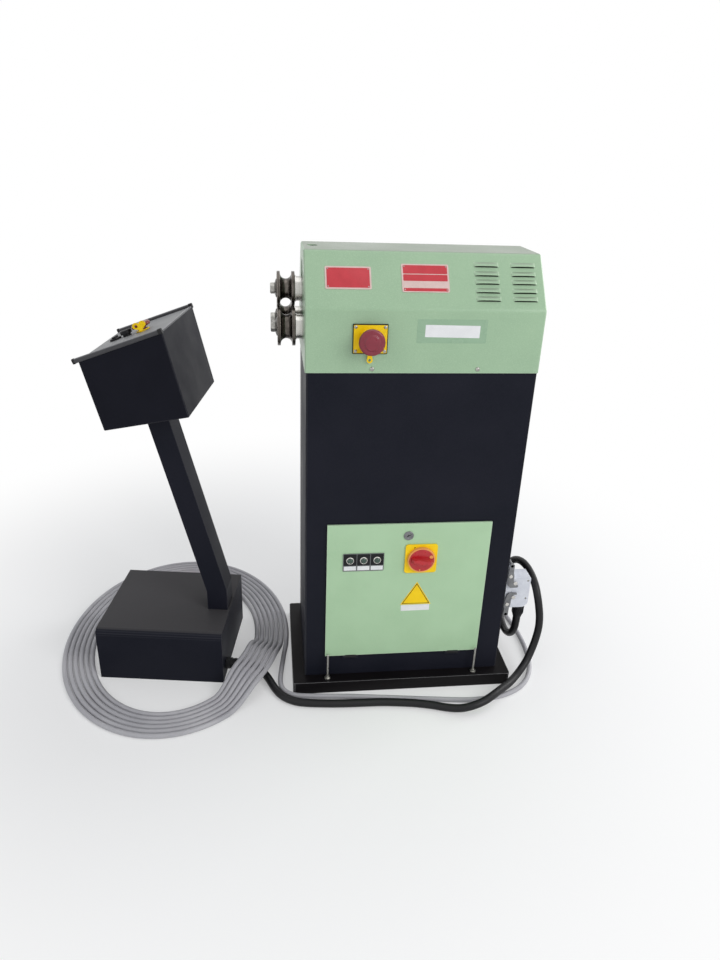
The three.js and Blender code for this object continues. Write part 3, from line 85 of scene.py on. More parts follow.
def alongX(x, y, z):
    return axes((x, y, z), (0, 1, 0), (0, 0, 1), (1, 0, 0))


def alongY(x, y, z):
    return axes((x, y, z), (0, 0, 1), (1, 0, 0), (0, 1, 0))


def newPiece(name, points, faces):
    mesh = bpy.data.meshes.new(name)
    mesh.from_pydata([tuple(p) for p in points], [], faces)
    piece = linked(name, mesh)
    work = bmesh.new()
    work.from_mesh(mesh)
    bmesh.ops.recalc_face_normals(work, faces=work.faces)
    work.to_mesh(mesh)
    work.free()
    return piece


def arc(u, v, radius, start, end, steps):
    angles = [start + (end - start) * i / steps for i in range(steps + 1)]
    return [(u + radius * math.cos(a), v + radius * math.sin(a)) for a in angles]


def roundedBox(width, height, radius, steps=6, centre=(0, 0)):
    u, v = width / 2 - radius, height / 2 - radius
    quarter = math.pi / 2
    corners = [(u, -v, -quarter), (u, v, 0), (-u, v, quarter), (-u, -v, 2 * quarter)]
    x, y = centre
    return [p for a, b, start in corners for p in arc(x + a, y + b, radius, start, start + quarter,
        steps)]


def hexagon(radius):
    return [(radius * math.cos(k * math.pi / 3), radius * math.sin(k * math.pi / 3)) for k in range(6)]


def extruded(name, outline, low, high, place):
    count = len(outline)
    points = [place @ Vector((u, v, w)) for w in (low, high) for u, v in outline]
    faces = [tuple(range(count)), tuple(range(count, 2 * count))]
    faces += [(i, (i + 1) % count, count + (i + 1) % count, count + i) for i in range(count)]
    return newPiece(name, points, faces)


def block(name, low, high):
    outline = [(low[0], low[1]), (high[0], low[1]), (high[0], high[1]), (low[0], high[1])]
    return extruded(name, outline, low[2], high[2], Matrix.Identity(4))


def turned(name, profile, place, steps=72, closed=False):
    points, faces, rings = [], [], []
    for along, radius in profile:
        if radius < 1e-6:
            rings.append([len(points)])
            points.append(place @ Vector((0, 0, along)))
            continue
        rings.append(list(range(len(points), len(points) + steps)))
        for k in range(steps):
            angle = math.tau * k / steps
            points.append(place @ Vector((radius * math.cos(angle), radius * math.sin(angle), along)))
    if closed:
        rings.append(rings[0])
    for low, high in zip(rings, rings[1:]):
        for k in range(steps):
            n = (k + 1) % steps
            if len(low) == 1 and len(high) == 1:
                break
            if len(low) == 1:
                faces.append((low[0], high[k], high[n]))
            elif len(high) == 1:
                faces.append((low[k], low[n], high[0]))
            else:
                faces.append((low[k], low[n], high[n], high[k]))
    return newPiece(name, points, faces)


def rod(name, low, high, radius, place, steps=48):
    return turned(name, [(low, 0), (low, radius), (high, radius), (high, 0)], place, steps)


def hole(radius, place, steps=40, reach=0.01):  # a cutter for the sheet at the place
    return rod("hole", -reach, reach, radius, place, steps)


def ribsRound(place, count, inner, outer, footHalf, crestHalf, low, high):
    section = [(inner, -footHalf), (outer, -crestHalf), (outer, crestHalf), (inner, footHalf)]
    return [extruded("rib", section, low, high, spun(place, math.tau * k / count)) for k in range(count)]


def plate(name, size, corner, low, high, place, steps=6, centre=(0, 0)):
    return extruded(name, roundedBox(*size, corner, steps, centre), low, high, place)


def movedOn(profile, start):  # the same profile from another start
    return [(start + along, radius) for along, radius in profile]


def settle(piece):  # modifiers become the mesh
    bpy.context.view_layer.update()
    graph = bpy.context.evaluated_depsgraph_get()
    made = bpy.data.meshes.new_from_object(piece.evaluated_get(graph))
    piece.modifiers.clear()
    piece.data = made
    return piece


def combine(piece, others, operation="DIFFERENCE"):
    for other in others:
        step = piece.modifiers.new(operation.lower(), "BOOLEAN")
        step.operation, step.solver, step.object = operation, "EXACT", other
        settle(piece)
        bpy.data.objects.remove(other)
    return piece


def gathered(name, parts):  # separate shells as one piece
    work = bmesh.new()
    for part in parts:
        work.from_mesh(part.data)
        bpy.data.objects.remove(part)
    mesh = bpy.data.meshes.new(name)
    work.to_mesh(mesh)
    work.free()
    return linked(name, mesh)


def rounding(piece, width, segments=3, angle=32):
    step = piece.modifiers.new("rounding", "BEVEL")
    step.width, step.segments, step.limit_method = width, segments, "ANGLE"
    step.angle_limit = math.radians(angle)
    step.harden_normals, step.use_clamp_overlap, step.miter_outer = False, True, "MITER_ARC"
    return piece


def smooth(piece, angle=None):
    for face in piece.data.polygons:
        face.use_smooth = True
    if angle:
        piece.data.set_sharp_from_angle(angle=math.radians(angle))
    return piece


def evenShade(piece):
    step = piece.modifiers.new("even shade", "WEIGHTED_NORMAL")
    step.mode, step.weight, step.keep_sharp = "FACE_AREA", 80, True
    return piece


def dress(piece, body, look, width=None, replaced=(), segments=3, angle=32):
    piece.data.materials.clear()
    piece.data.materials.append(looks[look])
    if width:
        smooth(piece)
        rounding(piece, width, segments, angle)
    else:
        smooth(piece, 34)
    evenShade(piece)
    if replaced:
        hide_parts(*replaced)
    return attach(piece, body)


# Finishes, all from nodes. Colours are the main one, a second and the fine spots, as they look from
# 0 to 255. Grain is the scale of the spots and of the mottle, bump its strength and depth, the top
# tint its colour, share and start: upward faces are painted darker on the green hood, a painted
# shade with dust, and lighter on the black tops, desk panel and lips, a painted reflection with dust.
# Edges and folds take a lighter colour, a painted highlight with rubbed paint.
finishes = {
    "greenPaint": {"colours": ((159, 190, 156), (153, 184, 151), (180, 206, 175)), "rough": (0.3, 0.42),
        "grain": (850, 9), "bump": (0.6, 0.0003), "wearAndEdgeHighlight": (214, 224, 206), "coat": 0.12,
        "specular": 0.45, "topDustAndShading": ((130, 140, 124), 0.85, 0.8)},
    "doorGreen": {"colours": ((176, 210, 171), (170, 204, 165), (180, 208, 172)), "rough": (0.36, 0.5),
        "grain": (700, 11), "bump": (0.2, 0.00015), "wearAndEdgeHighlight": (232, 238, 224), "wearAndEdgeHighlightWidth": 0.002,
        "coat": 0.12, "specular": 0.4},
    "filmGreen": {"colours": ((149, 181, 151), (145, 177, 147), (156, 186, 155)), "rough": (0.2, 0.3),
        "grain": (900, 30), "bump": (0.1, 0.0001)},
    "blackPaint": {"colours": ((24, 26, 35), (30, 31, 40), (38, 39, 48)), "rough": (0.42, 0.56),
        "grain": (1500, 7), "bump": (0.25, 0.00012), "wearAndEdgeHighlight": (92, 92, 96), "wearAndEdgeHighlightWidth": 0.0007,
        "specular": 0.07, "topDustAndShading": ((92, 90, 90), 0.55, 0.8)},
    "trayPaint": {"colours": ((15, 13, 15), (19, 17, 19), (28, 26, 28)), "rough": (0.36, 0.5),
        "grain": (1500, 9), "bump": (0.25, 0.00012), "wearAndEdgeHighlight": (190, 190, 192), "wearAndEdgeHighlightWidth": 0.0016,
        "specular": 0.12},
    "deskPaint": {"colours": ((16, 17, 26), (20, 21, 30), (28, 29, 38)), "rough": (0.4, 0.52),
        "grain": (1500, 14), "bump": (0.25, 0.00012), "wearAndEdgeHighlight": (108, 108, 112), "specular": 0.08,
        "topDustAndShading": ((170, 171, 172), 0.9, 0.6)},
    "lipPaint": {"colours": ((58, 58, 61), (64, 64, 67), (76, 76, 79)), "rough": (0.36, 0.5),
        "grain": (1500, 30), "bump": (0.25, 0.00012), "specular": 0.3,
        "topDustAndShading": ((150, 150, 153), 0.9, 0.4)},
    "motorPaint": {"colours": ((74, 82, 90), (66, 73, 82), (92, 99, 106)), "rough": (0.4, 0.55),
        "grain": (900, 12), "bump": (0.3, 0.0002)},
    "rollSteel": {"colours": ((98, 93, 88), (68, 64, 60), (134, 128, 122)), "rough": (0.2, 0.36),
        "grain": (900, 60), "bump": (0.12, 0.00008), "metal": 1, "turned": True, "wearAndEdgeHighlight": (176, 168, 160)},
    "brightSteel": {"colours": ((206, 204, 200), (194, 192, 188), (222, 220, 216)),
        "rough": (0.16, 0.22), "grain": (1400, 40), "bump": (0.06, 0.00004), "metal": 1, "turned": True},
    "coneSteel": {"colours": ((104, 101, 97), (84, 82, 79), (128, 125, 120)), "rough": (0.26, 0.4),
        "grain": (900, 90), "bump": (0.12, 0.00008), "metal": 1},
    "leverSteel": {"colours": ((128, 129, 131), (108, 109, 112), (150, 151, 153)), "rough": (0.3, 0.46),
        "grain": (900, 90), "bump": (0.12, 0.00008), "metal": 0.8},
    "zincSteel": {"colours": ((174, 173, 168), (148, 147, 143), (194, 194, 189)), "rough": (0.26, 0.44),
        "grain": (700, 150), "bump": (0.12, 0.00008), "metal": 1},
    "machinedPlate": {"colours": ((118, 120, 122), (100, 102, 104), (138, 140, 142)),
        "rough": (0.32, 0.5), "grain": (1200, 30), "bump": (0.12, 0.00006), "metal": 1,
        "stretch": (1, 1, 14)},
    "castAluminium": {"colours": ((218, 221, 229), (206, 209, 218), (228, 231, 238)),
        "rough": (0.4, 0.55), "grain": (1500, 60), "bump": (0.3, 0.00012), "metal": 0.2,
        "wearAndEdgeHighlight": (232, 234, 236)},
    "stopRed": {"colours": ((120, 26, 30), (108, 22, 26), (134, 34, 38)), "rough": (0.28, 0.4),
        "grain": (2500, 60), "bump": (0.08, 0.00004), "coat": 0.1},
    "redPlastic": {"colours": ((190, 24, 34), (176, 20, 30), (204, 36, 42)), "rough": (0.24, 0.36),
        "grain": (2500, 60), "bump": (0.08, 0.00004), "coat": 0.2},
    "mushroomRed": {"colours": ((132, 26, 48), (120, 20, 42), (146, 34, 58)), "rough": (0.26, 0.38),
        "grain": (2500, 60), "bump": (0.08, 0.00004), "coat": 0.25},
    "plateRed": {"colours": ((196, 34, 50), (186, 28, 44), (206, 46, 60)), "rough": (0.28, 0.4),
        "grain": (1800, 50), "bump": (0.06, 0.00004), "coat": 0.3},
    "paleRim": {"colours": ((222, 196, 190), (212, 184, 178), (230, 208, 202)), "rough": (0.32, 0.46),
        "grain": (1800, 50), "bump": (0.06, 0.00004)},
    "yellowPlastic": {"colours": ((255, 214, 2), (250, 207, 2), (255, 221, 24)), "rough": (0.3, 0.42),
        "grain": (2200, 50), "bump": (0.08, 0.00004), "specular": 0.3},
    "orangeRim": {"colours": ((240, 166, 92), (232, 154, 80), (246, 182, 112)), "rough": (0.3, 0.42),
        "grain": (2200, 50), "bump": (0.08, 0.00004)},
    "whiteLabel": {"colours": ((236, 237, 238), (228, 229, 231), (242, 243, 244)), "rough": (0.45, 0.6),
        "grain": (1600, 40), "bump": (0.05, 0.00003)},
    "darkPlastic": {"colours": ((26, 26, 29), (21, 21, 24), (38, 38, 41)), "rough": (0.38, 0.55),
        "grain": (2000, 40), "bump": (0.15, 0.00006), "specular": 0.22},
    "greyTrim": {"colours": ((112, 114, 116), (100, 102, 104), (124, 126, 128)), "rough": (0.4, 0.55),
        "grain": (2000, 40), "bump": (0.1, 0.00005)},
    "lensGreen": {"colours": ((24, 62, 48), (18, 50, 40), (46, 92, 74)), "rough": (0.12, 0.22),
        "grain": (900, 120), "bump": (0.1, 0.0001), "coat": 0.6},
    "blackRubber": {"colours": ((20, 20, 23), (16, 16, 19), (32, 32, 35)), "rough": (0.36, 0.5),
        "grain": (1500, 14), "bump": (0.12, 0.00008), "specular": 0.3},
    "greyRubber": {"colours": ((182, 181, 185), (166, 165, 170), (194, 193, 197)), "rough": (0.42, 0.58),
        "grain": (1300, 11), "bump": (0.12, 0.00008)},
}


def linear(colour):
    parts = [c / 255 for c in colour]
    return tuple(c / 12.92 if c <= 0.04045 else ((c + 0.055) / 1.055) ** 2.4 for c in parts) + (1,)


def fill(tree, shader, inputs):  # each input takes a number or another node's socket
    for key, value in inputs.items():
        if isinstance(value, bpy.types.NodeSocket):
            tree.links.new(value, shader.inputs[key])
        else:
            shader.inputs[key].default_value = value


def added(tree, kind, inputs, **settings):
    made = tree.nodes.new("ShaderNode" + kind)
    for key, value in settings.items():
        setattr(made, key, value)
    fill(tree, made, inputs)
    return made.outputs


def blended(tree, share, low, high, first, second, most=1.0):  # a colour mix that a share drives
    ramp = added(tree, "MapRange", {"Value": share, "From Min": low, "From Max": high, "To Max": most})
    return added(tree, "Mix", {"Factor": ramp["Result"], 6: first, 7: second}, data_type="RGBA")[2]


def pattern(tree, vector, scale, detail):
    return added(tree, "TexNoise", {"Vector": vector, "Scale": scale, "Detail": detail})["Fac"]


def ringed(tree, place, axis):  # the pattern follows only the length and the distance from the axis
    parts = added(tree, "SeparateXYZ", {0: place})
    flat = added(tree, "CombineXYZ", {"Y": parts["Y"], "Z": parts["Z"]})
    reach = added(tree, "VectorMath", {0: flat[0], 1: (0, *axis)}, operation="DISTANCE")
    return added(tree, "CombineXYZ", {"X": parts["X"], "Y": reach["Value"]})[0]


def makeMaterial(name, axis=(0, 0)):  # axis: Y and Z of the line that a turned finish runs round
    recipe = finishes[name]
    material = bpy.data.materials.new(name)
    material.use_nodes = True
    tree = material.node_tree
    place = fine = added(tree, "TexCoord", {})["Object"]
    if recipe.get("turned"):
        fine = ringed(tree, place, axis)
    if recipe.get("stretch"):
        fine = added(tree, "Mapping", {"Vector": place, "Scale": recipe["stretch"]})[0]
    grain = pattern(tree, fine, recipe["grain"][0], 2)
    mottle = pattern(tree, place, recipe["grain"][1], 3)
    first, second, spot = map(linear, recipe["colours"])
    colour = blended(tree, mottle, 0.35, 0.65, first, second)
    colour = blended(tree, grain, 0.5, 0.72, colour, spot, 0.8)
    surface = added(tree, "NewGeometry", {})
    if recipe.get("wearAndEdgeHighlight"):  # where a rounded normal leaves the face's own, edges and folds are lighter: a painted highlight with rubbed paint
        edge = added(tree, "Bevel", {"Radius": recipe.get("wearAndEdgeHighlightWidth", 0.0012)}, samples=3)["Normal"]
        same = added(tree, "VectorMath", {0: edge, 1: surface["True Normal"]}, operation="DOT_PRODUCT")
        colour = blended(tree, same["Value"], 0.997, 0.96, colour, linear(recipe["wearAndEdgeHighlight"]), 0.5)
    # upward faces: painted shade with dust on the green hood's top, painted reflection with dust on black
    # tops
    if recipe.get("topDustAndShading"):
        topDustAndShading, most, start = recipe["topDustAndShading"]
        up = added(tree, "SeparateXYZ", {0: surface["Normal"]})["Z"]
        colour = blended(tree, up, start, 1.0, colour, linear(topDustAndShading), most)
    low, high = recipe["rough"]
    rough = added(tree, "MapRange", {"Value": mottle, "From Min": 0.3, "From Max": 0.7, "To Min": low,
        "To Max": high})
    strength, depth = recipe["bump"]
    bump = added(tree, "Bump", {"Height": grain, "Strength": strength, "Distance": depth})
    fill(tree, tree.nodes["Principled BSDF"], {"Base Color": colour, "Roughness": rough["Result"],
        "Normal": bump["Normal"], "Metallic": recipe.get("metal", 0),
        "Coat Weight": recipe.get("coat", 0), "Specular IOR Level": recipe.get("specular", 0.5)})
    return material


looks = {name: makeMaterial(name) for name in finishes}
print("materials made:", len(looks))

# Cords: the points of their routes, in millimetres, on the floor and beside the connector.
console = {"place": (-0.66175, -0.064, 0), "turn": -0.141}
consolePlace = Matrix.Translation(console["place"]) @ Matrix.Rotation(console["turn"], 4, "Z")
controlCord = {"diameter": 0.017, "length": 1.394, "start": (268, -76.5, 130.4),
    "points": [(268, -76.2, 118), (268, -73.1, 96.4), (268, -63.1, 76.9), (268, -47.6, 61.4),
    (268, -28.1, 51.4), (268, -6.5, 48), (268.5, 15.1, 51.4), (269, 34.6, 61.4), (270.5, 50.1, 76.9),
    (272, 59.8, 97), (274, 63.3, 118), (276, 63, 138), (278, 61, 158), (281, 54.5, 182), (285, 39, 206),
    (290, 15, 221.5), (295, -13, 227), (300, -41.7, 221.3), (304.5, -66, 205), (308.5, -82, 181),
    (312.5, -89, 157), (316, -92, 133), (316.5, -94.5, 109), (313, -98, 85), (305, -105, 61),
    (289.5, -119, 36), (266, -139.5, 20), (238, -167, 17.5), (208, -194, 22), (180, -217, 24.5),
    (165.5, -226.4, 24), (149.5, -232.8, 22), (132.6, -235.9, 18.7), (115.3, -235.4, 14.5),
    (98.6, -231.5, 11.3), (76, -223.8, 9.2), (52, -215.5, 8.8), (15, -207, 8.8), (-20, -202, 8.8),
    (-56, -198.5, 8.8), (-95, -197.5, 8.8), (-143, -196, 8.8), (-185, -192.5, 8.8),
    (-216.4, -188.3, 8.8), (-231.8, -184.6, 8.8), (-246.3, -178, 8.8), (-259, -168.7, 8.8),
    (-269.8, -157, 8.8), (-278, -143.4, 8.8), (-284.5, -129.8, 9.2), (-294.6, -108.8, 12),
    (-305.7, -94.3, 17.9), (-325.6, -80.4, 25.8)], "glandEnds": [(0.3146, 0.034, 0.028),
    (0.2976, 0.034, 0.028)]}
supplyCord = {"diameter": 0.011, "length": 11.55, "start": (180, 153.6, 70),
    "points": [(180, 172, 69.5), (181, 193, 65), (185, 214, 54), (193, 232, 40), (206, 246, 26),
    (224, 254, 14.5), (244, 256, 8), (263, 250, 5.8), (279, 237, 5.6), (291, 217, 5.6), (299, 190, 5.6),
    (303.5, 157, 5.6), (307, 122, 5.6), (311.5, 85, 5.6), (316, 50, 5.6), (318.5, 15, 5.6),
    (318.5, -22, 5.6), (315, -60, 5.6), (306, -103, 5.6), (288, -141, 5.6), (264, -168, 5.6),
    (235, -186, 5.6), (206, -196, 5.6), (172, -201, 5.6), (135, -202, 5.6), (95, -198.5, 5.6),
    (57, -194, 5.6), (15, -189, 5.6), (-25, -184, 5.6), (-70, -178.5, 5.6), (-120, -172.5, 5.6),
    (-160, -169, 5.6), (-195, -166, 5.6), (-222, -163, 5.6), (-239.6, -159.3, 5.6),
    (-254.5, -149.5, 5.6), (-264.5, -134.6, 5.6), (-268, -117, 5.6), (-267.5, -95, 5.6),
    (-265, -70, 5.6), (-261.5, -42, 5.6), (-258.5, -18, 5.6)]}
coil = {"x": -0.508, "y": 0.066, "halfLength": 0.332, "halfWidth": 0.257, "pitch": 0.0118, "loops": 6,
    "startAngle": -0.12, "rest": 0.0056, "tailWidth": 0.115, "tailLength": 0.196, "tailRise": 0.0223,
    "tailRiseLength": 0.110, "firstHump": 0.0285, "humpGrowth": 0.0028, "humpFlat": 0.040,
    "humpRamp": 0.110, "humpAngle": -0.545, "loopSteps": 120, "lead": 0.011}


def humpAt(angle):
    count = round((angle - coil["humpAngle"]) / math.tau)
    if count < 1 or count > coil["loops"]:
        return 0
    middle = count * math.tau + coil["humpAngle"]
    speed = math.hypot(coil["halfWidth"] * math.sin(middle), coil["halfLength"] * math.cos(middle))
    along = max(0, abs(angle - middle) * speed - coil["humpFlat"]) / coil["humpRamp"]
    height = coil["firstHump"] + (count - 1) * coil["humpGrowth"]
    return height * math.cos(along * math.pi / 2) ** 2 if along < 1 else 0


def coilPoint(angle):
    end = coil["loops"] * math.tau
    drawnIn = coil["pitch"] * min(angle, end) / math.tau
    width, length = coil["halfWidth"] - drawnIn, coil["halfLength"] - drawnIn
    if angle <= end:
        return Vector((coil["x"] + width * math.cos(angle), coil["y"] + length * math.sin(angle),
            coil["rest"] + humpAt(angle)))
    left = (coil["loops"] + 0.25) * math.tau - angle
    along = 1 - min(1, left * coil["tailWidth"] / coil["tailRiseLength"])
    return Vector((coil["x"] + width - coil["tailWidth"] * (1 - math.cos(angle)),
        coil["y"] + coil["tailLength"] * math.sin(angle),
        coil["rest"] + coil["tailRise"] * (3 - 2 * along) * along ** 2))


def centripetal(points, spacing=0.006):  # a smooth line through the points, at even steps
    ends = [2 * points[0] - points[1], *points, 2 * points[-1] - points[-2]]
    line = []
    for p0, p1, p2, p3 in zip(ends, ends[1:], ends[2:], ends[3:]):
        d0, d1, d2 = (max((b - a).length ** 0.5, 1e-4) for a, b in ((p0, p1), (p1, p2), (p2, p3)))
        t1 = (p1 - p0) / d0 - (p2 - p0) / (d0 + d1) + (p2 - p1) / d1
        t2 = (p2 - p1) / d1 - (p3 - p1) / (d1 + d2) + (p3 - p2) / d2
        t1, t2 = t1 * d1, t2 * d1
        count = max(1, round((p2 - p1).length / spacing))
        for i in range(count):
            t = i / count
            line.append(p1 + t1 * t + (3 * (p2 - p1) - 2 * t1 - t2) * t ** 2 +
                (2 * (p1 - p2) + t1 + t2) * t ** 3)
    return [*line, points[-1]]


def cordCurve(name, line, diameter, look):
    curve = bpy.data.curves.new(name, "CURVE")
    curve.dimensions, curve.bevel_depth, curve.bevel_resolution = "3D", diameter / 2, 6
    curve.use_fill_caps = True
    spline = curve.splines.new("POLY")
    spline.points.add(len(line) - 1)
    for point, place in zip(spline.points, line):
        point.co = (*place, 1)
    spline.use_smooth = True
    curve.materials.append(looks[look])
    return linked(name, curve)


def lengthOf(line):
    return sum((b - a).length for a, b in zip(line, line[1:]))


def inMetres(place):
    return Vector(place) / 1000


def makeCords():
    start = inMetres(controlCord["start"])
    ends = [consolePlace @ Vector(p) for p in controlCord["glandEnds"]]
    line = centripetal([start, *map(inMetres, controlCord["points"]), *ends])
    control = cordCurve("controlCable", line, controlCord["diameter"], "blackRubber")
    print("control cable, m:", round(lengthOf(line), 3))
    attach(control, "machine")
    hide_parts("control_cable")

    first, last = coil["startAngle"], (coil["loops"] + 0.25) * math.tau
    count = round((last - first) / math.tau * coil["loopSteps"])
    turns = [coilPoint(first + (last - first) * i / count) for i in range(count + 1)]
    turns.append(turns[-1] + Vector((-coil["lead"] - 0.004, 0, 0)))
    start = inMetres(supplyCord["start"])
    lead = turns[0] - (turns[1] - turns[0]).normalized() * coil["lead"]
    line = centripetal([start, *map(inMetres, supplyCord["points"]), lead, turns[0]])[:-1] + turns
    supply = cordCurve("supplyCable", line, supplyCord["diameter"], "greyRubber")
    print("supply cable, m:", round(lengthOf(line), 3))
    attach(supply, "machine")
    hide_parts("supply_cable", "supply_coil")
    return supply, start, turns[-2]


supplyCable, supplyStart, coilEnd = makeCords()

plug = {"profile": [(-0.098, 0), (-0.098, 0.0198), (-0.128, 0.0202), (-0.128, 0.0228), (-0.126, 0.0246),
    (-0.1035, 0.025), (-0.1025, 0.0262), (-0.1, 0.027), (-0.064, 0.027), (-0.0605, 0.0255),
    (-0.0575, 0.0238), (-0.038, 0.0225), (-0.024, 0.0185), (-0.0225, 0.0132), (-0.019, 0.0128),
    (-0.0175, 0.0104), (-0.001, 0.009), (-0.001, 0.0062), (-0.006, 0.0059), (-0.006, 0)],
    "ribs": (16, 0.0255, 0.0278, 0.0011, 0.0007, -0.096, -0.068), "pins": 5, "pinCircle": 0.0118,
    "pinTurn": 0.3, "pin": 0.003, "firstPin": 1.3, "pinEnds": (-0.1, -0.121, -0.123), "pinTip": 0.7}


def makePlug():
    place, circle, (foot, neck, tip) = alongX(*coilEnd), plug["pinCircle"], plug["pinEnds"]
    shell = turned("supplyPlug", plug["profile"], place, 96)
    body = gathered("supplyPlug", [shell, *ribsRound(place, *plug["ribs"])])
    dress(body, "machine", "redPlastic", 0.0005, ["supply_plug"], 2)
    pins = []
    for k in range(plug["pins"]):
        angle = math.tau * k / plug["pins"] + plug["pinTurn"]
        at = shifted(place, circle * math.cos(angle), circle * math.sin(angle), 0)
        radius = plug["pin"] * (1 if k else plug["firstPin"])
        profile = [(foot, 0), (foot, radius), (neck, radius), (tip, radius * plug["pinTip"]), (tip, 0)]
        pins.append(turned("pin", profile, at, 24))
    dress(gathered("supplyPlugPins", pins), "machine", "zincSteel", None)


makePlug()
print("cords laid")

# Floor, room light and lamps.
stage = {"floor": 9, "floorColour": 0.95, "world": 0.5, "fade": (0.5, 1.4), "least": 0.3,
    "roomColour": (0.95, 0.97, 1, 1), "aim": (-0.15, 0, 0.45), "middle": (-0.22, 0.05),
    "lamps": [("key", (2.4, -2.7, 2.5), 2.0, 62), ("fill", (-2.7, -2.4, 1.8), 2.4, 9),
    ("top", (0.2, 0.4, 3.4), 2.6, 15), ("side", (3.2, 1.2, 1.6), 1.6, 38)]}


def seenDirectly(tree):  # 1 for the eye, for reflections and through glass
    path = added(tree, "LightPath", {})
    first = added(tree, "Math", {0: path["Is Camera Ray"], 1: path["Is Glossy Ray"]}, operation="MAXIMUM")
    return added(tree, "Math", {0: first[0], 1: path["Is Transmission Ray"]}, operation="MAXIMUM")[0]


def shown(tree, share, usual, white, output):  # the usual shader gives way to the white one by the share
    mix = added(tree, "MixShader", {0: share, 1: usual, 2: white})
    fill(tree, tree.nodes[output], {"Surface": mix[0]})


def floorFade(tree, usual):  # the floor turns white away from the object and keeps its shadow near it
    place = added(tree, "TexCoord", {})["Object"]
    reach = added(tree, "VectorMath", {0: place, 1: (*stage["middle"], 0)}, operation="DISTANCE")
    start, end = stage["fade"]
    ramp = added(tree, "MapRange", {"Value": reach["Value"], "From Min": start, "From Max": end,
        "To Min": stage["least"]}, interpolation_type="SMOOTHSTEP")
    share = added(tree, "Math", {0: ramp["Result"], 1: seenDirectly(tree)}, operation="MULTIPLY")
    white = added(tree, "Emission", {"Color": (1, 1, 1, 1)})
    shown(tree, share[0], usual, white[0], "Material Output")


def makeStage():
    half = stage["floor"]
    floor = newPiece("floor", [(-half, -half, 0), (half, -half, 0), (half, half, 0), (-half, half, 0)],
        [(0, 1, 2, 3)])
    material = bpy.data.materials.new("paleFloor")
    material.use_nodes = True
    shader = material.node_tree.nodes["Principled BSDF"]
    fill(material.node_tree, shader, {"Base Color": (stage["floorColour"],) * 3 + (1,), "Roughness": 0.9,
        "Specular IOR Level": 0.1})
    floorFade(material.node_tree, shader.outputs[0])
    floor.data.materials.append(material)
    world = bpy.data.worlds.new("softRoom")
    world.use_nodes = True
    tree = world.node_tree
    room = tree.nodes["Background"]
    fill(tree, room, {"Color": stage["roomColour"], "Strength": stage["world"]})
    white = added(tree, "Background", {"Color": (1, 1, 1, 1), "Strength": 1})
    shown(tree, seenDirectly(tree), room.outputs[0], white[0], "World Output")
    bpy.context.scene.world = world
    for name, place, size, power in stage["lamps"]:
        light = bpy.data.lights.new(name, "AREA")
        light.shape, light.size, light.energy = "SQUARE", size, power
        lamp = linked(name, light)
        lamp.location = place
        lamp.rotation_euler = (Vector(stage["aim"]) - Vector(place)).to_track_quat("-Z", "Y").to_euler()
    bpy.context.scene.view_settings.view_transform = "Standard"


makeStage()
print("stage lit")

# Plain CAD nodes that stay: a softened edge and a finish each.
keptNodes = {
    "trayPaint": {"base_plate": 0.0016},
    "blackPaint": {"cabinet_wrap": 0.0009, "cabinet_side": 0.0009, "console_base": 0.0009,
        # the door pins are black here: painted shade under the door
        "console_column": 0.0012, "door_pin_front": 0.0004, "door_pin_rear": 0.0004},
    "machinedPlate": {"head_plate": 0.0008, "rear_plate": 0.0008, "slide_block": 0.0008,
        "lower_gear_near": 0.0003, "lower_gear_far": 0.0003, "drive_pinion": 0.0003},
    "brightSteel": {"head_bearings": 0.0006, "rear_bearings": 0.0006, "adjusting_screw": 0.0006},
    "motorPaint": {"gearbox": 0.002, "drive_motor": 0.002, "adjusting_motor": 0.0015},
    "darkPlastic": {"switchgear": 0.001},
}


def softenNode(name, width, material):
    node = nodes[name]
    given = node.data.attributes.get("custom_normal")
    if given:
        node.data.attributes.remove(given)
    node.data.materials.clear()
    node.data.materials.append(material)
    smooth(node)
    weld = node.modifiers.new("weld", "WELD")
    weld.merge_threshold = 0.00001
    plain = node.modifiers.new("plain", "DECIMATE")
    plain.decimate_type, plain.angle_limit = "DISSOLVE", math.radians(0.6)
    rounding(node, width, 2, 30)
    evenShade(node)


for look, group in keptNodes.items():
    for nodeName, nodeWidth in group.items():
        softenNode(nodeName, nodeWidth, looks[look])
print("kept nodes finished")

# Hood: one folded sheet, its louvres pressed out of the slope.
hood = {"front": -0.2173, "rear": 0.2173, "half": 0.1273, "foot": 0.714, "crease": 0.829,
    "shoulder": 0.058, "top": 0.9185, "sheet": 0.002, "fold": 0.0038, "overrun": 0.03,
    "lowerHole": 0.0245, "lowerY": 0.0375, "lowerZ": 0.777, "slot": (0.834, 0.870), "stopHole": 0.0133,
    "stopWay": 0.020, "topHole": (-0.1983, 0.010), "wall": (-0.004, 0.006), "paintedShadeLiner": (0.0002, 0.0008),
    "paintedShadeCup": [(-0.008, 0), (-0.008, 0.012), (-0.0022, 0.012), (-0.0022, 0.0112), (-0.0072, 0.0112),
    (-0.0072, 0)]}
slopeAngle = math.atan2(hood["top"] - hood["crease"], hood["half"] - hood["shoulder"])
slopePlace = axes((0, -hood["half"], hood["crease"]), (1, 0, 0),
    (0, math.cos(slopeAngle), math.sin(slopeAngle)), (0, -math.sin(slopeAngle), math.cos(slopeAngle)))
louvres = {"length": 0.046, "width": 0.009, "proud": 0.004, "slit": (0.044, 0.0032, 0.0014),
    "columns": (0.111, 0.179), "up": (0.0225, 0.0385, 0.0555, 0.0715, 0.0895), "sheet": 0.0008,
    "below": 0.0010}


def hoodSide(x, z, out=0):
    return onSide(x, -hood["half"] - out, z)


def hoodOutline(inset, foot):
    half = hood["half"] - inset
    crease = hood["crease"] - inset * math.tan((math.pi / 2 - slopeAngle) / 2)
    shoulder = hood["shoulder"] - inset * math.tan(slopeAngle / 2)
    top = hood["top"] - inset
    return [(-half, foot), (half, foot), (half, crease), (shoulder, top), (-shoulder, top),
        (-half, crease)]


def stadium(low, high, radius, steps=20):
    return [*arc(0, low, radius, math.pi, math.tau, steps), *arc(0, high, radius, 0, math.pi, steps)]


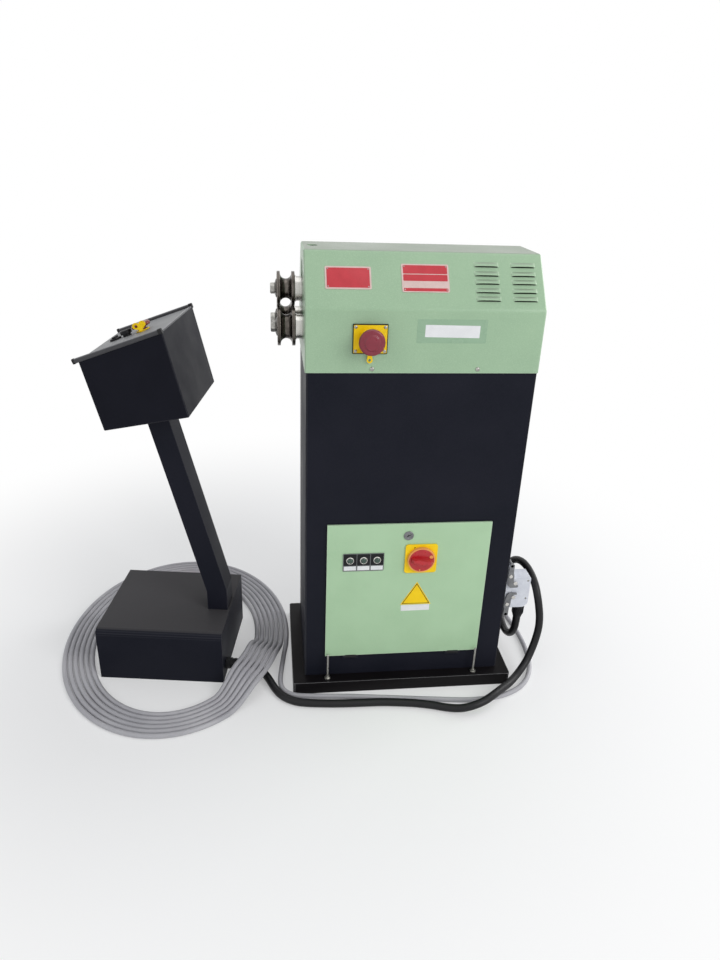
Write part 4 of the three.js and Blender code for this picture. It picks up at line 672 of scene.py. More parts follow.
def louvreBlister(x, up):
    across, down = 22, 7
    points, faces = [], []
    for i in range(across + 1):
        u = louvres["length"] * (i / across - 0.5)
        height = louvres["proud"] * max(0, 1 - abs(2 * i / across - 1) ** 3.2) ** 0.5
        for j in range(down + 1):
            t = j / down
            v = up + louvres["width"] * (0.5 - t)
            points.append(slopePlace @ Vector((x + u, v, -0.0003 + height * math.sin(t * math.pi / 2))))
    for i in range(across):
        for j in range(down):
            a = i * (down + 1) + j
            faces.append((a, a + 1, a + down + 2, a + down + 1))
    return newPiece("louvre", points, faces)


def makeHood():
    h, level, sheet = hood, alongX(0, 0, 0), hood["sheet"]
    front, rear, low = h["front"], h["rear"], h["foot"] - h["overrun"]
    shell = extruded("hoodShell", hoodOutline(0, low), front, rear, level)
    settle(rounding(shell, h["fold"], 5, 20))
    inner = extruded("inner", hoodOutline(sheet, low - 0.01), front + sheet, rear - sheet, level)
    settle(rounding(inner, h["fold"] - sheet, 4, 20))
    below = block("below", (-0.3, -0.2, low - 0.02), (0.3, 0.2, h["foot"]))
    wall = [front + edge for edge in h["wall"]]
    holes = [rod("hole", *wall, h["lowerHole"], alongX(0, y, h["lowerZ"]), 64)
        for y in (-h["lowerY"], h["lowerY"])]
    holes.append(extruded("slot", stadium(*h["slot"], h["lowerHole"]), *wall, level))
    x, radius = h["topHole"]
    stopPlace = hoodSide(estop["x"], estop["z"])
    holes.append(rod("topHole", h["top"] - 0.006, h["top"] + 0.006, radius,
        Matrix.Translation((x, 0, 0)), 48))
    holes.append(hole(h["stopHole"], stopPlace, 48, 0.006))
    for column in louvres["columns"]:
        for up in louvres["up"]:
            length, width, corner = louvres["slit"]
            middle = up - louvres["width"] / 2 - louvres["below"] + width / 2
            holes.append(plate("slit", (length, width), corner, -0.005, 0.002, slopePlace, 6,
                (column, middle)))
    combine(shell, [inner, below, *holes])
    dress(shell, "machine", "greenPaint", None, ["hood"])
    # a dark sheet inside the hood, behind its slits and openings: painted shade in the hollow
    outside, inside = h["paintedShadeLiner"]
    paintedShadeLiner = extruded("hoodPaintedShade", hoodOutline(sheet + outside, h["foot"] + 0.004), front + 0.030,
        rear - sheet - outside, level)
    cavity = extruded("cavity", hoodOutline(sheet + inside, h["foot"] - 0.02), front + 0.020,
        rear - sheet - inside, level)
    combine(paintedShadeLiner, [cavity, rod("stopHole", -0.02, 0.002, h["stopWay"], stopPlace, 48)])
    dress(paintedShadeLiner, "machine", "darkPlastic")
    # a dark cup under the top hole: painted shade inside it
    dress(turned("topHolePaintedShade", h["paintedShadeCup"], Matrix.Translation((x, 0, h["top"])), 48), "machine",
        "darkPlastic")
    blisters = gathered("hoodLouvres", [louvreBlister(x, up) for x in louvres["columns"]
        for up in louvres["up"]])
    skin = blisters.modifiers.new("skin", "SOLIDIFY")
    skin.thickness, skin.offset = louvres["sheet"], 0
    dress(settle(blisters), "machine", "greenPaint", None)


estop = {"x": -0.1015, "z": 0.77675, "out": 0.0003, "size": (0.063, 0.0535), "thick": 0.003,
    "corner": 0.0012, "edge": 0.0006, "border": 0.0016, "face": 0.0012, "screwInset": 0.0052,
    "screw": (0.0031, 0.0013), "collar": 0.017, "collarHeight": 0.006, "bevel": 0.001,
    "neckHole": 0.0103, "thread": (-0.0045, 0.001, 0.013), "nut": (-0.0083, -0.0023, 0.018),
    "reach": 0.036, "back": -0.0023, "neck": 0.01, "soft": 0.0007,
    "crown": [(-0.019, 0.01), (-0.0135, 0.0135), (-0.0145, 0.0205), (-0.0128, 0.0229), (-0.0095, 0.0235),
    (-0.006, 0.0233), (-0.0035, 0.0219), (-0.0026, 0.0195), (-0.0024, 0.0148), (-0.0015, 0.0138),
    (-0.0004, 0.0132), (0, 0.0118), (0, 0)]}
stopRing = {"gap": 0.0003, "thick": 0.002, "radius": 0.021, "bore": 0.0173, "drop": 0.0375,
    "tip": 0.0055, "waist": 0.0038, "waistUp": 0.0085, "root": 0.0054, "rootDown": 0.012, "eye": 0.0028}
screwSlot = {"width": 0.0009, "depth": 0.0007}


def panScrew(place, radius, height, turn=0.5, cross=False):
    dome = [(-0.001, 0), (-0.001, radius)]
    dome += [(height * math.sin(a), radius * math.cos(a) ** 0.6) for a in (0, 0.35, 0.7, 1.05)]
    head = turned("screw", [*dome, (height, radius * 0.4), (height, 0)], place, 28)
    reach, half = radius * (0.62 if cross else 1.2), screwSlot["width"] / 2
    outline = [(-reach, -half), (reach, -half), (reach, half), (-reach, half)]
    return combine(head, [extruded("cut", outline, height - screwSlot["depth"], height + 0.002,
        spun(place, turn + k * math.pi / 2)) for k in range(2 if cross else 1)])


def makeEstop():
    e, t, thick = estop, stopRing, estop["thick"]
    place = hoodSide(e["x"], e["z"], e["out"])
    wide, tall = e["size"]
    border = plate("estopPlate", e["size"], e["corner"], 0, thick - e["edge"], place)
    combine(border, [rod("bore", -0.01, 0.02, e["neckHole"], place)])
    dress(border, "machine", "darkPlastic", 0.0003, (), 2)
    face = plate("estopFace", (wide - 2 * e["border"], tall - 2 * e["border"]), e["corner"], e["face"],
        thick, place)
    crest, bevel = thick + e["collarHeight"], e["bevel"]
    collar = turned("collar", [(0, 0), (0, e["collar"]), (crest - bevel, e["collar"]),
        (crest, e["collar"] - bevel), (crest, 0)], place, 64)
    combine(face, [collar, rod("thread", *e["thread"], place), rod("nut", *e["nut"], place, 6)], "UNION")
    combine(face, [rod("bore", -0.02, 0.02, e["neckHole"], place)])
    dress(face, "machine", "yellowPlastic", 0.0004, ["estop_plate"], 2)
    u, v = wide / 2 - e["screwInset"], tall / 2 - e["screwInset"]
    screws = [panScrew(shifted(place, a * u, b * v, thick), *e["screw"], 0.4 + a + 0.7 * b)
        for a in (-1, 1) for b in (-1, 1)]
    dress(gathered("estopScrews", screws), "machine", "zincSteel", None)
    low, drop = thick + t["gap"], t["drop"]
    high = low + t["thick"]
    ring = rod("estopTab", low, high, t["radius"], place, 72)
    waist, root = (t["waist"], t["waistUp"] - drop), (t["root"], -t["rootDown"])
    tongue = extruded("tongue", [*arc(0, -drop, t["tip"], math.pi, math.tau, 16), waist, root,
        (-root[0], root[1]), (-waist[0], waist[1])], low, high, place)
    combine(ring, [tongue], "UNION")
    combine(ring, [rod("bore", low - 0.01, low + 0.01, t["bore"], place, 64),
        rod("eye", low - 0.01, low + 0.01, t["eye"], shifted(place, 0, -drop, 0), 32)])
    dress(ring, "machine", "yellowPlastic", 0.0003, ["estop_tab"], 2)
    crown = movedOn(e["crown"], e["reach"] - e["out"])
    button = turned("estopButton", [(e["back"], 0), (e["back"], e["neck"]), *crown], place, 96)
    soft = button.modifiers.new("soft", "BEVEL")
    soft.width, soft.segments = e["soft"], 3
    soft.limit_method, soft.angle_limit = "ANGLE", math.radians(20)
    dress(settle(button), "machine_stop", "mushroomRed", None, ["estop_button"])


makeHood()
makeEstop()
print("hood and its stop button built")

# Signs: bare plates and labels.
signs = {
    "slopePlateFront": {"at": (-0.140, 0.059), "size": (0.082, 0.044), "bands": [(0, 0.076, 0.038)]},
    "slopePlateRear": {"at": (-0.002, 0.0605), "size": (0.086, 0.055),
        "bands": [(0.0165, 0.080, 0.0165), (0.0005, 0.080, 0.0125), (-0.0225, 0.080, 0.006)]},
}
signShape = {"corner": 0.003, "thick": 0.0008, "bandCorner": 0.0016, "band": (0.0006, 0.00095),
    "rivetInset": (0.0052, 0.0050), "rivet": [(0.0007, 0), (0.0007, 0.0014), (0.0014, 0.0011),
    (0.0017, 0)]}
plainLabel = {"middle": (0.047, 0.791), "size": (0.100, 0.022), "corner": 0.0008, "turn": -0.012,
    "rise": (0.00005, 0.0003), "film": (0.128, 0.043), "filmX": 0.046, "filmCorner": 0.002,
    "filmRise": (0.00002, 0.00016)}
doorSigns = {"x": 0.0185, "half": 0.0328, "low": 0.2092, "high": 0.0558, "foot": 0.00005,
    "strip": (0.0612, 0.0143), "stripPlace": (0.0181, 0.20065), "stripCorner": 0.0006,
    "stripTop": 0.0003, "stripTurn": 0.01, "layers": [("Rim", 0, 0.0003, "yellowPlastic"),
    ("Dark", 0.0018, 0.0004, "darkPlastic"), ("Face", 0.0032, 0.0005, "yellowPlastic")]}
hoodScrews = {"z": 0.7215, "head": (0.0042, 0.002), "near": ((-0.096, 0.3), (0.100, 0.9)),
    "far": ((-0.096, 0.1), (0.100, 0.6))}
doorFace = -0.1293


def makeSlopePlates():
    shape = signShape
    for name, sign in signs.items():
        place = shifted(slopePlace, *sign["at"], 0.0001)
        back = plate(name, sign["size"], shape["corner"], 0, shape["thick"], place)
        dress(back, "machine", "paleRim", 0.0002, (), 2)
        fields = [plate("field", size, shape["bandCorner"], *shape["band"], place, 4, (0, up))
            for up, *size in sign["bands"]]
        dress(gathered(name + "Field", fields), "machine", "plateRed")
        u, v = (whole / 2 - inset for whole, inset in zip(sign["size"], shape["rivetInset"]))
        places = [shifted(place, a * u, b * v, 0) for a in (-1, 1) for b in (-1, 1)]
        rivets = [turned("rivet", shape["rivet"], at, 16) for at in places]
        dress(gathered(name + "Rivets", rivets), "machine", "zincSteel")


def makeSigns():
    p, d, (x, z) = plainLabel, doorSigns, plainLabel["middle"]
    place = hoodSide(p["filmX"], z)
    dress(plate("sideLabelFilm", p["film"], p["filmCorner"], *p["filmRise"], place, 3), "machine",
        "filmGreen")
    place = spun(hoodSide(x, z), p["turn"])
    dress(plate("sideLabel", p["size"], p["corner"], *p["rise"], place, 3), "machine", "whiteLabel")
    place, half, high = onSide(d["x"], doorFace, d["low"]), d["half"], d["high"]
    lean = math.atan2(high, half)
    for name, inset, top, look in d["layers"]:
        wide = half - (inset / math.sin(lean) + inset / math.tan(lean))
        corners = [(-wide, inset), (wide, inset), (0, inset + wide * high / half)]
        dress(extruded("doorTriangle" + name, corners, d["foot"], top, place), "door", look)
    x, z = d["stripPlace"]
    place = spun(onSide(x, doorFace, z), d["stripTurn"])
    dress(plate("doorStrip", d["strip"], d["stripCorner"], d["foot"], d["stripTop"], place, 3), "door",
        "whiteLabel")
    z, head = hoodScrews["z"], hoodScrews["head"]
    screws = [panScrew(hoodSide(x, z), *head, turn, True) for x, turn in hoodScrews["near"]]
    for x, turn in hoodScrews["far"]:
        place = axes((x, hood["half"], z), (-1, 0, 0), (0, 0, 1), (0, 1, 0))
        screws.append(panScrew(place, *head, turn, True))
    dress(gathered("hoodScrews", screws), "machine", "zincSteel", None)


makeSlopePlates()
makeSigns()
print("bare signs and screws placed")

# Rolls, shafts and bolts, each turned finely round its own axis.
roll = {"front": -0.264, "rear": -0.231, "groove": 0.021, "depth": 0.0135, "bore": 0.0128,
    "recess": (0.0186, 0.0192, 0.0006), "land": (0.0046, 0.004), "edge": 0.0011, "lower": 0.035,
    "upper": 0.031, "lowerZ": 0.777, "upperZ": 0.840, "upperTurn": 0.45,
    "sides": (("near", -0.0375, 0.2), ("far", 0.0375, 0.7))}
shaft = {"tip": -0.263, "seat": 0.0125, "chamfer": 0.0006, "collarX": -0.2307, "collar": 0.024,
    "collarEdge": 0.0004, "collarWidth": 0.002, "sleeve": 0.0225, "hole": 0.0053, "holeEnd": -0.240,
    "upper": [(-0.1927, 0.0225), (-0.1927, 0.017), (-0.0657, 0.017), (-0.0657, 0)],
    "lower": [(-0.191, 0.0225), (-0.191, 0.015), (-0.1744, 0.015), (-0.1744, 0.020), (-0.064, 0.020),
    (-0.064, 0.015), (-0.0504, 0.015), (-0.0504, 0.013), (-0.0227, 0.013), (-0.0227, 0)]}
bolt = {"washer": [(-0.2683, 0), (-0.2683, 0.0095), (-0.2679, 0.0101), (-0.2655, 0.017),
    (-0.2643, 0.017), (-0.2643, 0)], "head": 0.0102, "rise": (-0.2763, -0.2681),
    "shank": (-0.2645, -0.2405, 0.005), "dome": [(-0.2763, 0), (-0.2763, 0.008568), (-0.2747, 0.010404),
    (-0.2663, 0.010404), (-0.2663, 0)]}


def rollPiece(name, radius, place, body, node):
    front, rear, edge, bore = roll["front"], roll["rear"], roll["edge"], roll["bore"]
    (inner, outer, step), (deep, land), half = roll["recess"], roll["land"], roll["groove"] / 2
    groove = arc((front + rear) / 2, radius - roll["depth"] + half, half, math.pi, 2 * math.pi, 28)
    start, end = groove[0][0], groove[-1][0]
    profile = [(front, bore), (front, inner), (front + step, outer), (front + step, radius - deep),
        (front, radius - land), (front, radius - edge), (front + edge * 0.3, radius - edge * 0.3),
        (front + edge, radius), (start - edge * 0.8, radius), (start - edge * 0.2, radius - edge * 0.25),
        *[(u, min(v, radius - edge)) for u, v in groove], (end + edge * 0.2, radius - edge * 0.25),
        (end + edge * 0.8, radius), (rear - edge, radius), (rear - edge * 0.3, radius - edge * 0.3),
        (rear, radius - edge), (rear, bore)]
    piece = turned(name, profile, place, 128, True)
    centre = place.translation
    looks[name] = makeMaterial("rollSteel", (centre.y, centre.z))
    dress(piece, body, name, None, [node])


def shaftPiece(name, place, body, node, end="lower"):
    tip, seat, chamfer = shaft["tip"], shaft["seat"], shaft["chamfer"]
    x, collar, edge, back = shaft["collarX"], shaft["collar"], shaft["collarEdge"], shaft["collarWidth"]
    nose = [(shaft["holeEnd"], 0), (shaft["holeEnd"], shaft["hole"]), (tip, shaft["hole"]),
        (tip, seat - chamfer), (tip + chamfer, seat), (x, seat), (x, collar - edge), (x + edge, collar),
        (x + back, collar), (x + back, shaft["sleeve"])]
    centre = place.translation
    looks[name] = makeMaterial("brightSteel", (centre.y, centre.z))
    dress(turned(name, nose + shaft[end], place, 96), body, name, None, [node])


def boltPiece(name, place, body, node, turn):
    washer = turned(name + "Washer", bolt["washer"], place, 72)
    head = extruded("head", hexagon(bolt["head"]), *bolt["rise"], spun(place, turn))
    combine(head, [turned("dome", bolt["dome"], place, 72)], "INTERSECT")
    dress(washer, body, "coneSteel", 0.0003, (), 2)
    dress(gathered(name, [head, rod("shank", *bolt["shank"], place)]), body, "zincSteel", 0.0003,
        [node], 2)


def makeRolls():
    for side, y, turn in roll["sides"]:
        place = alongX(0, y, roll["lowerZ"])
        rollPiece(f"lowerRoll_{side}", roll["lower"], place, f"{side}_roll", f"lower_roll_{side}")
        shaftPiece(f"lowerShaft_{side}", place, f"{side}_roll", f"lower_shaft_{side}")
        boltPiece(f"rollBolt_{side}", place, f"{side}_roll", f"roll_bolt_{side}", turn)
    place = alongX(0, 0, roll["upperZ"])
    rollPiece("upperRoll", roll["upper"], place, "upper_roll", "upper_roll")
    shaftPiece("upperShaft", place, "upper_roll", "upper_shaft", "upper")
    boltPiece("rollBoltUpper", place, "upper_roll", "roll_bolt_upper", roll["upperTurn"])


makeRolls()
print("rolls turned")

# Door fittings: lock, isolator, lamps, and the studs before the door's lower corners.
door = {"x": (-0.1714, 0.165), "z": (0.082, 0.403), "back": -0.1253, "sheet": 0.002, "bodyGap": 0.0003,
    "lampHole": 0.0068, "lockHole": 0.0093, "knuckles": (-0.1164, 0.110), "hinge": (-0.1283, 0.0782),
    "knuckle": (0.0032, 0.024), "pinHole": 0.0017, "web": (-0.0014, 0.0007), "webTop": 0.001}
isolator = {"x": 0.022, "z": 0.3225, "size": (0.067, 0.067), "corner": 0.006, "thick": 0.003,
    "bodyHalf": 0.025, "deep": 0.045, "bore": 0.0053, "rims": ((0.0292, 0.0011), (0.0318, 0.0007)),
    "rimEnd": 0.35, "rimReach": 0.0333, "rimRise": (-0.0002, 0.00025), "markPlace": (-0.0148, 0.0262),
    "mark": [(-0.0016, -0.0022), (0.0012, -0.0026), (0.0016, 0.0022), (-0.0010, 0.0024)],
    "markRise": 0.0001}
knob = {"tilt": -0.14, "gap": 0.0003, "oval": (0.0287, 0.0283), "disc": 0.0068,
    "shaft": (-0.0205, 0.005), "rim": [(-0.0016, 1), (-0.0007, 0.985), (-0.0007, 0)],
    "top": [(-0.0004, 0.9), (0, 0.885), (0, 0)], "sunk": 0.001, "eyePlace": (0.0185, 0.0105),
    "eye": (-0.0025, 0.0031), "spotPlace": (0.0005, -0.0228), "spotHole": (-0.0006, 0.0019),
    "spot": [(-0.0006, 0), (-0.0006, 0.0018), (-0.0002, 0.0015), (-0.0002, 0)],
    "ring": [(-0.0024, 0), (-0.0024, 0.0031), (0.0003, 0.0038), (0.0003, 0.0027), (-0.0018, 0.0023),
    (-0.0018, 0)]}
grip = {"height": 0.0135, "halfLength": 0.0215, "halfWidth": 0.0054, "swell": 0.0026, "rows": 15,
    "dropShare": 0.16, "endShare": 0.93, "endHeightShare": 0.55,
    "shares": [(-1, 0), (-0.92, 0.55), (-0.55, 0.93), (0, 1), (0.55, 0.93), (0.92, 0.55), (1, 0)]}
lamps = {"x": (-0.1243, -0.09655, -0.0688), "z": 0.3225, "place": (-0.1385, 0.2965),
    "size": (0.0839, 0.041), "corner": 0.0012, "thick": 0.0015, "film": (-0.0002, 0.0004),
    "cell": (0.0262, 0.0262), "cellUp": 0.0269, "cellCorner": 0.0006, "strip": (0.0248, 0.0094),
    "stripUp": 0.0072, "stripCorner": 0.0005, "gap": 0.0003, "stem": [(-0.0168, 0), (-0.0168, 0.0065)],
    "ring": [(0, 0.0065), (0, 0.0082), (0.0016, 0.0082), (0.0028, 0.0073), (0.0028, 0.0063),
    (0.0018, 0.006), (0.001, 0.006), (0.001, 0)], "lens": 0.0059, "lensSeat": 0.0008,
    "lensStart": 0.0022, "lensRise": 0.0028}
lock = {"x": -0.0065, "z": 0.376, "barrel": [(-0.012, 0), (-0.012, 0.0088), (0, 0.0088), (0, 0.01),
    (0.0011, 0.01), (0.0018, 0.0093), (0.002, 0.0084), (0.0016, 0.0066), (0.0008, 0.006), (0.0008, 0)],
    "cam": [(-0.005, -0.005), (0.022, -0.005), (0.024, -0.003), (0.024, 0.003), (0.022, 0.005),
    (-0.005, 0.005)], "camHeight": (-0.012, -0.009), "cut": (-0.003, 0.004),
    "slot": ((0.0085, 0.0018), 0.0008), "notch": ((0.0017, 0.004), 0.0007), "notchUp": 0.001, "turn": 0.5}
studs = {"x": (-0.1659, 0.1595), "y": -0.137, "radius": 0.0025, "foot": 0.009, "top": 0.092,
    "seat": 0.0293, "threadUp": 0.01, "pitch": 0.0009, "threadDepth": 0.00035, "threadStop": 0.003,
    "tip": (0.001, 0.0008), "nut": 0.0049, "nutRise": (0.0018, 0.0063), "nutTurn": 0.35,
    "washer": [(0, 0), (0, 0.0068), (0.0003, 0.007), (0.0017, 0.007), (0.002, 0.0067), (0.002, 0)]}


def onDoor(x, z, out=0.0003):
    return onSide(x, doorFace - out, z)


def makeDoor():
    d, front, back, sheet = door, doorFace, door["back"], door["sheet"]
    (x0, x1), (z0, z1) = d["x"], d["z"]
    tray = block("door", (x0, front, z0), (x1, back, z1))
    inner = block("inner", (x0 + sheet, front + sheet, z0 + sheet),
        (x1 - sheet, back + sheet, z1 - sheet))
    x, z, half = isolator["x"], isolator["z"], isolator["bodyHalf"] + d["bodyGap"]
    square = block("square", (x - half, front - sheet, z - half), (x + half, back + sheet, z + half))
    holes = [hole(d["lampHole"], onDoor(x, lamps["z"], 0)) for x in lamps["x"]]
    holes.append(hole(d["lockHole"], onDoor(lock["x"], lock["z"], 0), 48))
    combine(tray, [inner, square, *holes])
    dress(tray, "door", "doorGreen", 0.0009, ["door"])
    knuckles, (y, z), (radius, length) = [], d["hinge"], d["knuckle"]
    pin = alongX(0, y, z)
    for x in d["knuckles"]:
        low, high = x - length / 2, x + length / 2
        eye = rod("eye", low, high, radius, pin, 32)
        web = block("web", (low, y + d["web"][0], z), (high, y + d["web"][1], z0 + d["webTop"]))
        combine(eye, [web], "UNION")
        knuckles.append(combine(eye, [rod("bore", low - 0.002, high + 0.002, d["pinHole"], pin, 24)]))
    # the knuckles are dark: painted shade under the door
    dress(gathered("doorKnuckles", knuckles), "door", "darkPlastic", 0.0003, (), 2)


def gripPiece(place, base):  # a hand grip that swells in its middle
    points, faces, shares, rows = [], [], grip["shares"], grip["rows"]
    for row in range(rows):
        t = row / (rows - 1) * 2 - 1
        wide = grip["halfWidth"] + grip["swell"] * (1 - t * t)
        drop = 1 - grip["dropShare"] * t * t if abs(t) < grip["endShare"] else grip["endHeightShare"]
        tall = grip["height"] * drop
        points += [place @ Vector((-t * grip["halfLength"], wide * a, base + tall * b))
            for a, b in shares]
    around = len(shares)
    for i in range(0, (rows - 1) * around, around):
        faces += [(i + j, i + j + 1, i + j + around + 1, i + j + around) for j in range(around - 1)]
        faces.append((i + around - 1, i, i + around, i + 2 * around - 1))
    faces += [tuple(range(around)), tuple(range(len(points) - around, len(points)))]
    return newPiece("grip", points, faces)


def makeIsolator():
    i, k, thick = isolator, knob, isolator["thick"]
    place = onDoor(i["x"], i["z"])
    base = plate("isolatorPlate", i["size"], i["corner"], 0, thick, place, 8)
    half, back = i["bodyHalf"], place.translation.y
    body = block("body", (i["x"] - half, back - 0.001, i["z"] - half),
        (i["x"] + half, back + i["deep"], i["z"] + half))
    combine(base, [body], "UNION")
    combine(base, [rod("bore", -i["deep"] / 2, 0.01, i["bore"], place)])
    dress(base, "door", "yellowPlastic", 0.0007, ["isolator_body"])
    rims = []
    for radius, wide in i["rims"]:  # raised arcs round the knob, open below
        start, end = -i["rimEnd"], math.pi + i["rimEnd"]
        section = [*arc(0, 0, radius + wide / 2, start, end, 48),
            *arc(0, 0, radius - wide / 2, end, start, 48)]
        section = [(u, v) for u, v in section if max(abs(u), abs(v)) < i["rimReach"]]
        rims.append(extruded("rim", section, *(thick + rise for rise in i["rimRise"]), place))
    dress(gathered("isolatorRims", rims), "door", "yellowPlastic")
    mark = extruded("isolatorMark", i["mark"], thick - i["markRise"], thick + i["markRise"],
        shifted(place, *i["markPlace"], 0))
    dress(mark, "door", "darkPlastic")
    spin, low = spun(place, k["tilt"]), thick + k["gap"]
    disc = low + k["disc"]
    flat, oval = Matrix.Identity(4), spin @ Matrix.Diagonal((*k["oval"], 1, 1))
    edge = turned("knobRim", [(low, 0), (low, 1), *movedOn(k["rim"], disc)], flat, 96)
    edge.data.transform(oval)
    dress(edge, "isolator", "orangeRim", None)
    seat = low + k["sunk"]
    top = turned("knobTop", [(seat, 0), (seat, 0.9), *movedOn(k["top"], disc)], flat, 96)
    top.data.transform(oval)
    combine(top, [gripPiece(spin, disc - k["sunk"])], "UNION")
    shaftRod = rod("knobShaft", k["shaft"][0], disc - k["sunk"], k["shaft"][1], spin)
    eyePlace, spotPlace = (shifted(spin, *k[key], 0) for key in ("eyePlace", "spotPlace"))
    combine(top, [rod("eye", disc + k["eye"][0], disc + 0.01, k["eye"][1], eyePlace, 32),
        rod("dot", disc + k["spotHole"][0], disc + 0.01, k["spotHole"][1], spotPlace, 24)])
    dress(gathered("isolatorKnob", [top, shaftRod]), "isolator", "redPlastic", 0.0006,
        ["isolator_knob"], 2)
    trims = [turned("ring", movedOn(k["ring"], disc), eyePlace, 40),
        turned("spot", movedOn(k["spot"], disc), spotPlace, 24)]
    dress(gathered("knobEye", trims), "isolator", "orangeRim")


def makeLamps():
    p, (length, height), (x, z) = lamps, lamps["size"], lamps["place"]
    seat = p["thick"] + p["gap"]
    base = plate("lampPlate", p["size"], p["corner"], 0, p["thick"],
        onDoor(x + length / 2, z + height / 2))
    combine(base, [hole(door["lampHole"], onDoor(at, p["z"])) for at in p["x"]])
    dress(base, "door", "greyTrim", 0.0003, ["lamp_plate"], 2)
    film, cells, strips = [p["thick"] + rise for rise in p["film"]], [], []
    for at in p["x"]:
        cell = plate("cell", p["cell"], p["cellCorner"], *film, onDoor(at, z + p["cellUp"]), 3)
        cells.append(combine(cell, [hole(door["lampHole"], onDoor(at, p["z"]))]))
        place = onDoor(at, z + p["stripUp"])
        strips.append(plate("strip", p["strip"], p["stripCorner"], *film, place, 3))
    dress(gathered("lampCells", cells), "door", "darkPlastic", None)
    dress(gathered("lampStrips", strips), "door", "whiteLabel")
    for name, at in zip(("front", "middle", "rear"), p["x"]):
        place = onDoor(at, p["z"])
        ring = turned(f"lampRing_{name}", p["stem"] + movedOn(p["ring"], seat), place, 64)
        dress(ring, "door", "brightSteel", 0.0003, [f"lamp_{name}"], 2)
        radius, low, start, rise = p["lens"], seat + p["lensSeat"], seat + p["lensStart"], p["lensRise"]
        angles = [k * math.pi / 16 for k in range(8)]
        dome = [(start + rise * math.sin(a), radius * math.cos(a)) for a in angles]
        dome = [(low, 0), (low, radius), *dome, (start + rise, 0)]
        dress(turned(f"lampLens_{name}", dome, place, 48), "door", "lensGreen", None)


def makeLock():
    place = onDoor(lock["x"], lock["z"])
    spin = spun(place, lock["turn"])
    barrel = turned("doorLock", lock["barrel"], place, 64)
    combine(barrel, [extruded("cam", lock["cam"], *lock["camHeight"], place)], "UNION")
    combine(barrel, [plate(key, *lock[key], *lock["cut"], spin, 3, (0, up))
        for key, up in (("slot", 0), ("notch", lock["notchUp"]))])
    dress(barrel, "lock", "leverSteel", 0.0003, ["door_lock"], 2)


def makeStuds():
    d, r, seat, top = studs, studs["radius"], studs["seat"], studs["top"]
    for name, x in zip(("front", "rear"), d["x"]):
        place = Matrix.Translation((x, d["y"], 0))
        up, pitch = seat + d["threadUp"], d["pitch"]
        profile = [(d["foot"], 0), (d["foot"], r), (up, r)]
        while up < top - d["threadStop"]:  # thread ridges
            profile += [(up + pitch * 0.5, r - d["threadDepth"]), (up + pitch, r)]
            up += pitch
        profile += [(top - d["tip"][0], r), (top, r - d["tip"][1]), (top, 0)]
        low, high = (seat + rise for rise in d["nutRise"])
        stud = turned("stud", profile, place, 24)
        washer = turned("washer", movedOn(d["washer"], seat), place, 40)
        nut = extruded("nut", hexagon(d["nut"]), low, high, spun(place, d["nutTurn"]))
        dress(gathered(f"holdDownStud_{name}", [stud, washer, nut]), "machine", "zincSteel", 0.0002,
            [f"stud_{name}"], 1, 50)


makeDoor()
makeIsolator()
makeLamps()
makeLock()
makeStuds()
print("door fittings built")

# Heavy connector on the rear wall, with its two levers and the gland below.
connector = {"y": -0.0765, "half": 0.0185, "wall": 0.2153, "face": 0.2403, "flange": (0.038, 0.125),
    "flangeThick": 0.004, "flangeZ": 0.2225, "bodyZ": (0.166, 0.268), "corner": 0.003,
    "seal": (0.036, 0.074), "sealRise": (-0.0002, 0.0004), "hoodGap": 0.0003, "hoodZ": (0.167, 0.243),
    "length": 0.040, "bend": 0.014, "edge": 0.002, "rim": (0.0382, 0.077), "rimThick": 0.0045,
    "screwX": 0.2745, "screwZ": (0.2355, 0.190), "screw": (0.0024, 0.0007, 0.6)}
peg = {"reach": 0.0225, "crown": 0.0239, "inset": 0.0005, "edge": 0.0008, "stem": 0.003,
    "places": [(0.2323, 0.178, 0.0042), (0.2323, 0.250, 0.0042), (0.2446, 0.196, 0.0046),
    (0.2446, 0.232, 0.0046)]}
lever = {"pivotX": 0.2323, "pivots": (("upper", 1, 0.250), ("lower", -1, 0.178)), "half": 0.0223,
    "thick": 0.003, "hole": 0.0033, "bar": 0.004, "barUp": 0.026,
    "shape": [(-0.0058, 0.028), (-0.0038, 0.03), (0.0038, 0.03), (0.0058, 0.028), (0.0058, 0.009),
    (0.0078, 0.002), (0.0084, -0.013), *arc(0.0146, -0.0182, 0.0062, math.pi - 0.4, math.pi + 1.15, 8),
    (0.0195, -0.024), (0.0198, -0.0268), (0.018, -0.0292), (0.002, -0.0292), (-0.0034, -0.024),
    (-0.0062, -0.006), (-0.0066, 0.002), (-0.0058, 0.009)]}
connectorGland = {"x": 0.268, "shell": [(0.1307, 0), (0.1307, 0.0088), (0.1315, 0.0096),
    (0.1395, 0.0118), (0.1405, 0.0122), (0.1573, 0.0122), (0.158, 0.0128), (0.1585, 0.0133),
    (0.1662, 0.0133), (0.1667, 0.0129), (0.1667, 0)], "ribs": (18, 0.0115, 0.0131, 0.0008, 0.0005,
    0.1412, 0.1565)}
glands = {
    "supplyGland": {"place": axes((0.180, 0.1253, 0.070), (1, 0, 0), (0, 0, -1), (0, 1, 0)),
        "hex": (0.0115, 0.010), "dome": 0.018, "mouth": 0.0072, "nut": 0.011, "thread": 0.008,
        "node": "supply_gland"},
    "consoleGland": {"place": consolePlace @ alongX(0.2723, 0.034, 0.028), "hex": (0.013, 0.009),
        "dome": 0.016, "mouth": 0.010, "nut": 0.012, "thread": 0.009, "node": "console_gland"},
}
glandShape = {"back": (-0.0036, -0.0026, -0.0066), "shoulder": 0.86, "ribs": 14, "rib": (0.001, 0.0009),
    "ribHalf": (0.0006, 0.0004), "ribStart": 0.0006, "ribEnd": 0.3}


